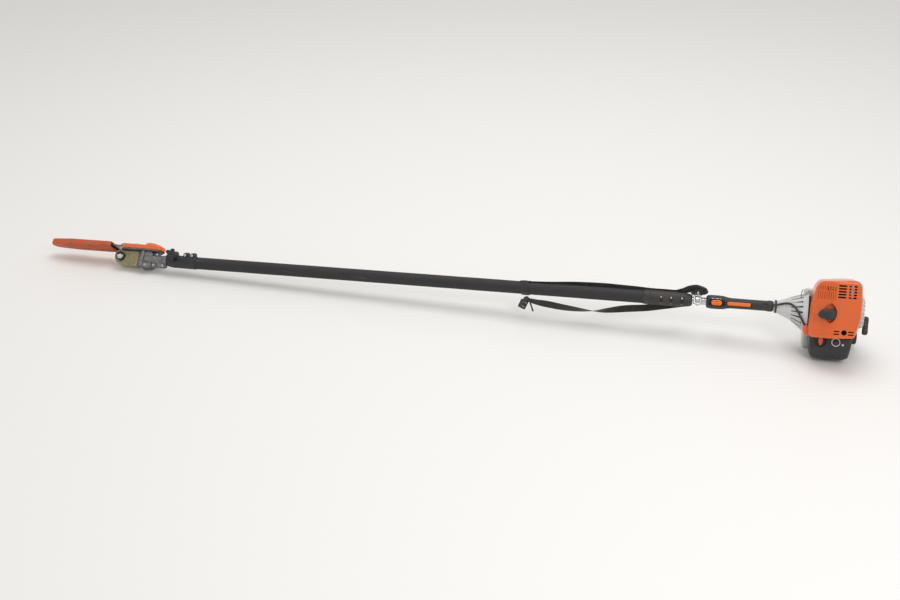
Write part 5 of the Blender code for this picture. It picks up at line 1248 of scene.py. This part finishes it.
whole = track_line(3.4, 900)
links = 4 * round(np.linalg.norm(whole - np.roll(whole, 1, 0), axis=1).sum() / PITCH_MM / 4)
centre_line = track_line(3.4, links)
heading = np.roll(centre_line, -1, 0) - np.roll(centre_line, 1, 0)
heading /= np.linalg.norm(heading, axis=1, keepdims=True)
out_way = np.stack([heading[:, 1], -heading[:, 0]], -1)


def link_plates(outline, which, low, high):
    """One link's outline, given along and out from the chain's line, set at each place in the list."""
    shape = np.asarray(outline, float)
    place = (centre_line[which][:, None] + heading[which][:, None] * shape[:, :1]
             + out_way[which][:, None] * shape[:, 1:])
    level = np.ones(len(shape))
    return [skin(np.stack([np.c_[flat[:, 0], y * level, flat[:, 1]] for y in (low, high)])) for flat in place]


strap_outline = soften([(-7.4, -2.6), (7.4, -2.6), (7.4, 2.4), (0, 1.2), (-7.4, 2.4)], 2.0, 3)
drive_outline = soften([(-7.4, -2.2), (-3.4, -2.8), (0, -3.0), (3.4, -2.8), (7.4, -2.2), (7.4, 2.4),
                        (-7.4, 2.4)], 1.4, 3)
cutter_outline = soften([(-7.6, -2.6), (7.4, -2.6), (7.4, 2.0), (4.0, 3.3), (2.6, 1.2), (-0.5, 1.4),
                         (-2.2, 3.5), (-7.4, 2.8)], 0.8, 3)
every = np.arange(links)
chain_shapes = link_plates(drive_outline, every[::2], BAR_Y - 0.7, BAR_Y + 0.7)
for k, side in ((1, 1), (1, -1), (3, 1), (3, -1)):
    near, far = (0.85, 2.1) if side > 0 else (-2.1, -0.85)
    which = every[k::4]
    if k == 3:
        chosen = which[::2] if side > 0 else which[1::2]
        chain_shapes += link_plates(cutter_outline, chosen, BAR_Y + near, BAR_Y + far)
        which = np.setdiff1d(which, chosen)
    chain_shapes += link_plates(strap_outline, which, BAR_Y + near, BAR_Y + far)
CHAIN_STEEL = finish("chain_steel", (0.36, 0.35, 0.34), 0.34, dirt=(0.05, 0.035, 0.025), amount=0.7,
                     scale=200.0, metallic=1.0, skin_scale=1200.0, skin_depth=0.05)
make("saw_chain_links", together(chain_shapes), CHAIN_STEEL, "cutting_head", ["saw_chain"],
     sharp=30)

# --------------------------------------------------------------------------------------------------
# Chain guard: a worn red-orange moulded sheath pushed over bar and chain, its two faces embossed with
# diagonal bars.
GUARD_PLAN = [(26.0, 25.5), (105.0, 36.5)]
MOUTH_X = 269.0


def guard_outline(grow):
    """Round nose, a taper to full height, then straight to the open mouth."""
    (x0, r0), (x1, r1) = GUARD_PLAN
    r0, r1 = r0 + grow, r1 + grow
    lean = np.arcsin((r1 - r0) / (x1 - x0))
    nose = np.linspace(pi / 2 + lean, 3 * pi / 2 - lean, 48)
    turn = np.linspace(pi / 2, pi / 2 + lean, 6)
    return np.vstack([[(MOUTH_X, r1)], np.stack([x1 + r1 * np.cos(turn), r1 * np.sin(turn)], -1),
                      np.stack([x0 + r0 * np.cos(nose), r0 * np.sin(nose)], -1),
                      np.stack([x1 + r1 * np.cos(turn[::-1]), -r1 * np.sin(turn[::-1])], -1),
                      [(MOUTH_X, -r1)]])


room_line = guard_outline(-2.5)
room_line[[0, -1], 0] += 40
guard_body = slab(even(guard_outline(0.0), 260), BAR_Y - 10.5, BAR_Y + 10.5, 4.2, "xz", 7)
GUARD = finish("worn_guard", (0.60, 0.088, 0.020), 0.46, dirt=(0.36, 0.155, 0.085), amount=0.75, scale=34.0,
               skin_scale=900.0, skin_depth=0.10, streak=((0.30, 0.050, 0.022), 75.0, 0.47))
make("chain_guard_moulding", guard_body, GUARD, "guard", ["chain_guard"],
     cuts=[prism(even(room_line, 200), BAR_Y - 8, BAR_Y + 8, "xz")], bevel=0.4, sharp=36, bevel_angle=50)
emboss = []
for x in np.arange(52, 262, 8.6):
    reach = np.interp(x, [26, 105], [17.0, 28.0])
    for side in (-1, 1):
        t = np.linspace(-1, 1, 10)
        path = np.c_[np.clip(x + 15 * t, 12 + 16 * np.abs(t), 265), np.full(10, BAR_Y + side * 10.45),
                     reach * t]
        emboss.append(swept(path, [(-1.7, -0.35), (-1.1, 0.55), (1.1, 0.55), (1.7, -0.35)], (0, side, 0)))
make("chain_guard_embossing", together(emboss), GUARD, "guard", sharp=50)

# --------------------------------------------------------------------------------------------------
# Inside parts: under the covers the CAD shapes stay as they are: cast crankcase and finned cylinder, ground
# steel shafts, gears and clutch, the stamped muffler, the foam filter and the black starter pulley.
GROUND_STEEL = finish("ground_steel", (0.56, 0.56, 0.57), 0.30, dirt=(0.20, 0.16, 0.12), amount=0.35,
                      scale=90.0, metallic=1.0, skin_depth=0.0, streak=((0.42, 0.42, 0.43), 200.0, 0.5))
CAST_ALLOY = finish("engine_casting", (0.10, 0.10, 0.105), 0.55, dirt=(0.03, 0.025, 0.02), amount=0.6,
                    scale=60.0, metallic=0.4, skin_scale=900.0, skin_depth=0.3)
MUFFLER = finish("muffler_steel", (0.12, 0.11, 0.10), 0.50, dirt=(0.05, 0.035, 0.025), amount=0.6, scale=35.0,
                 metallic=0.5, skin_scale=600.0, skin_depth=0.1)
FOAM = finish("filter_foam", (0.085, 0.083, 0.078), 0.92, dirt=(0.16, 0.14, 0.11), amount=0.5, scale=50.0,
              skin_scale=1800.0, skin_depth=0.6)
INSIDE = {
    GROUND_STEEL: ["guide_bar", "output_bearing", "head_shaft", "output_shaft", "bevel_gear", "drive_sprocket",
                   "drive_shaft", "clutch_drum", "clutch_shoes", "crankshaft", "rewind_spring", "spark_plug",
                   "throttle_lever"],
    CAST_ALLOY: ["crankcase", "cylinder", "flywheel", "carburetor", "piston_and_rod"],
    MUFFLER: ["muffler"],
    FOAM: ["air_filter"],
    BLACK: ["starter_pulley", "inner_tube_guide"],
    ROPE_FIBRE: ["starter_rope"],
}
for material, names in INSIDE.items():
    for name in names:
        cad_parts[name].data.materials.clear()
        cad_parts[name].data.materials.append(material)
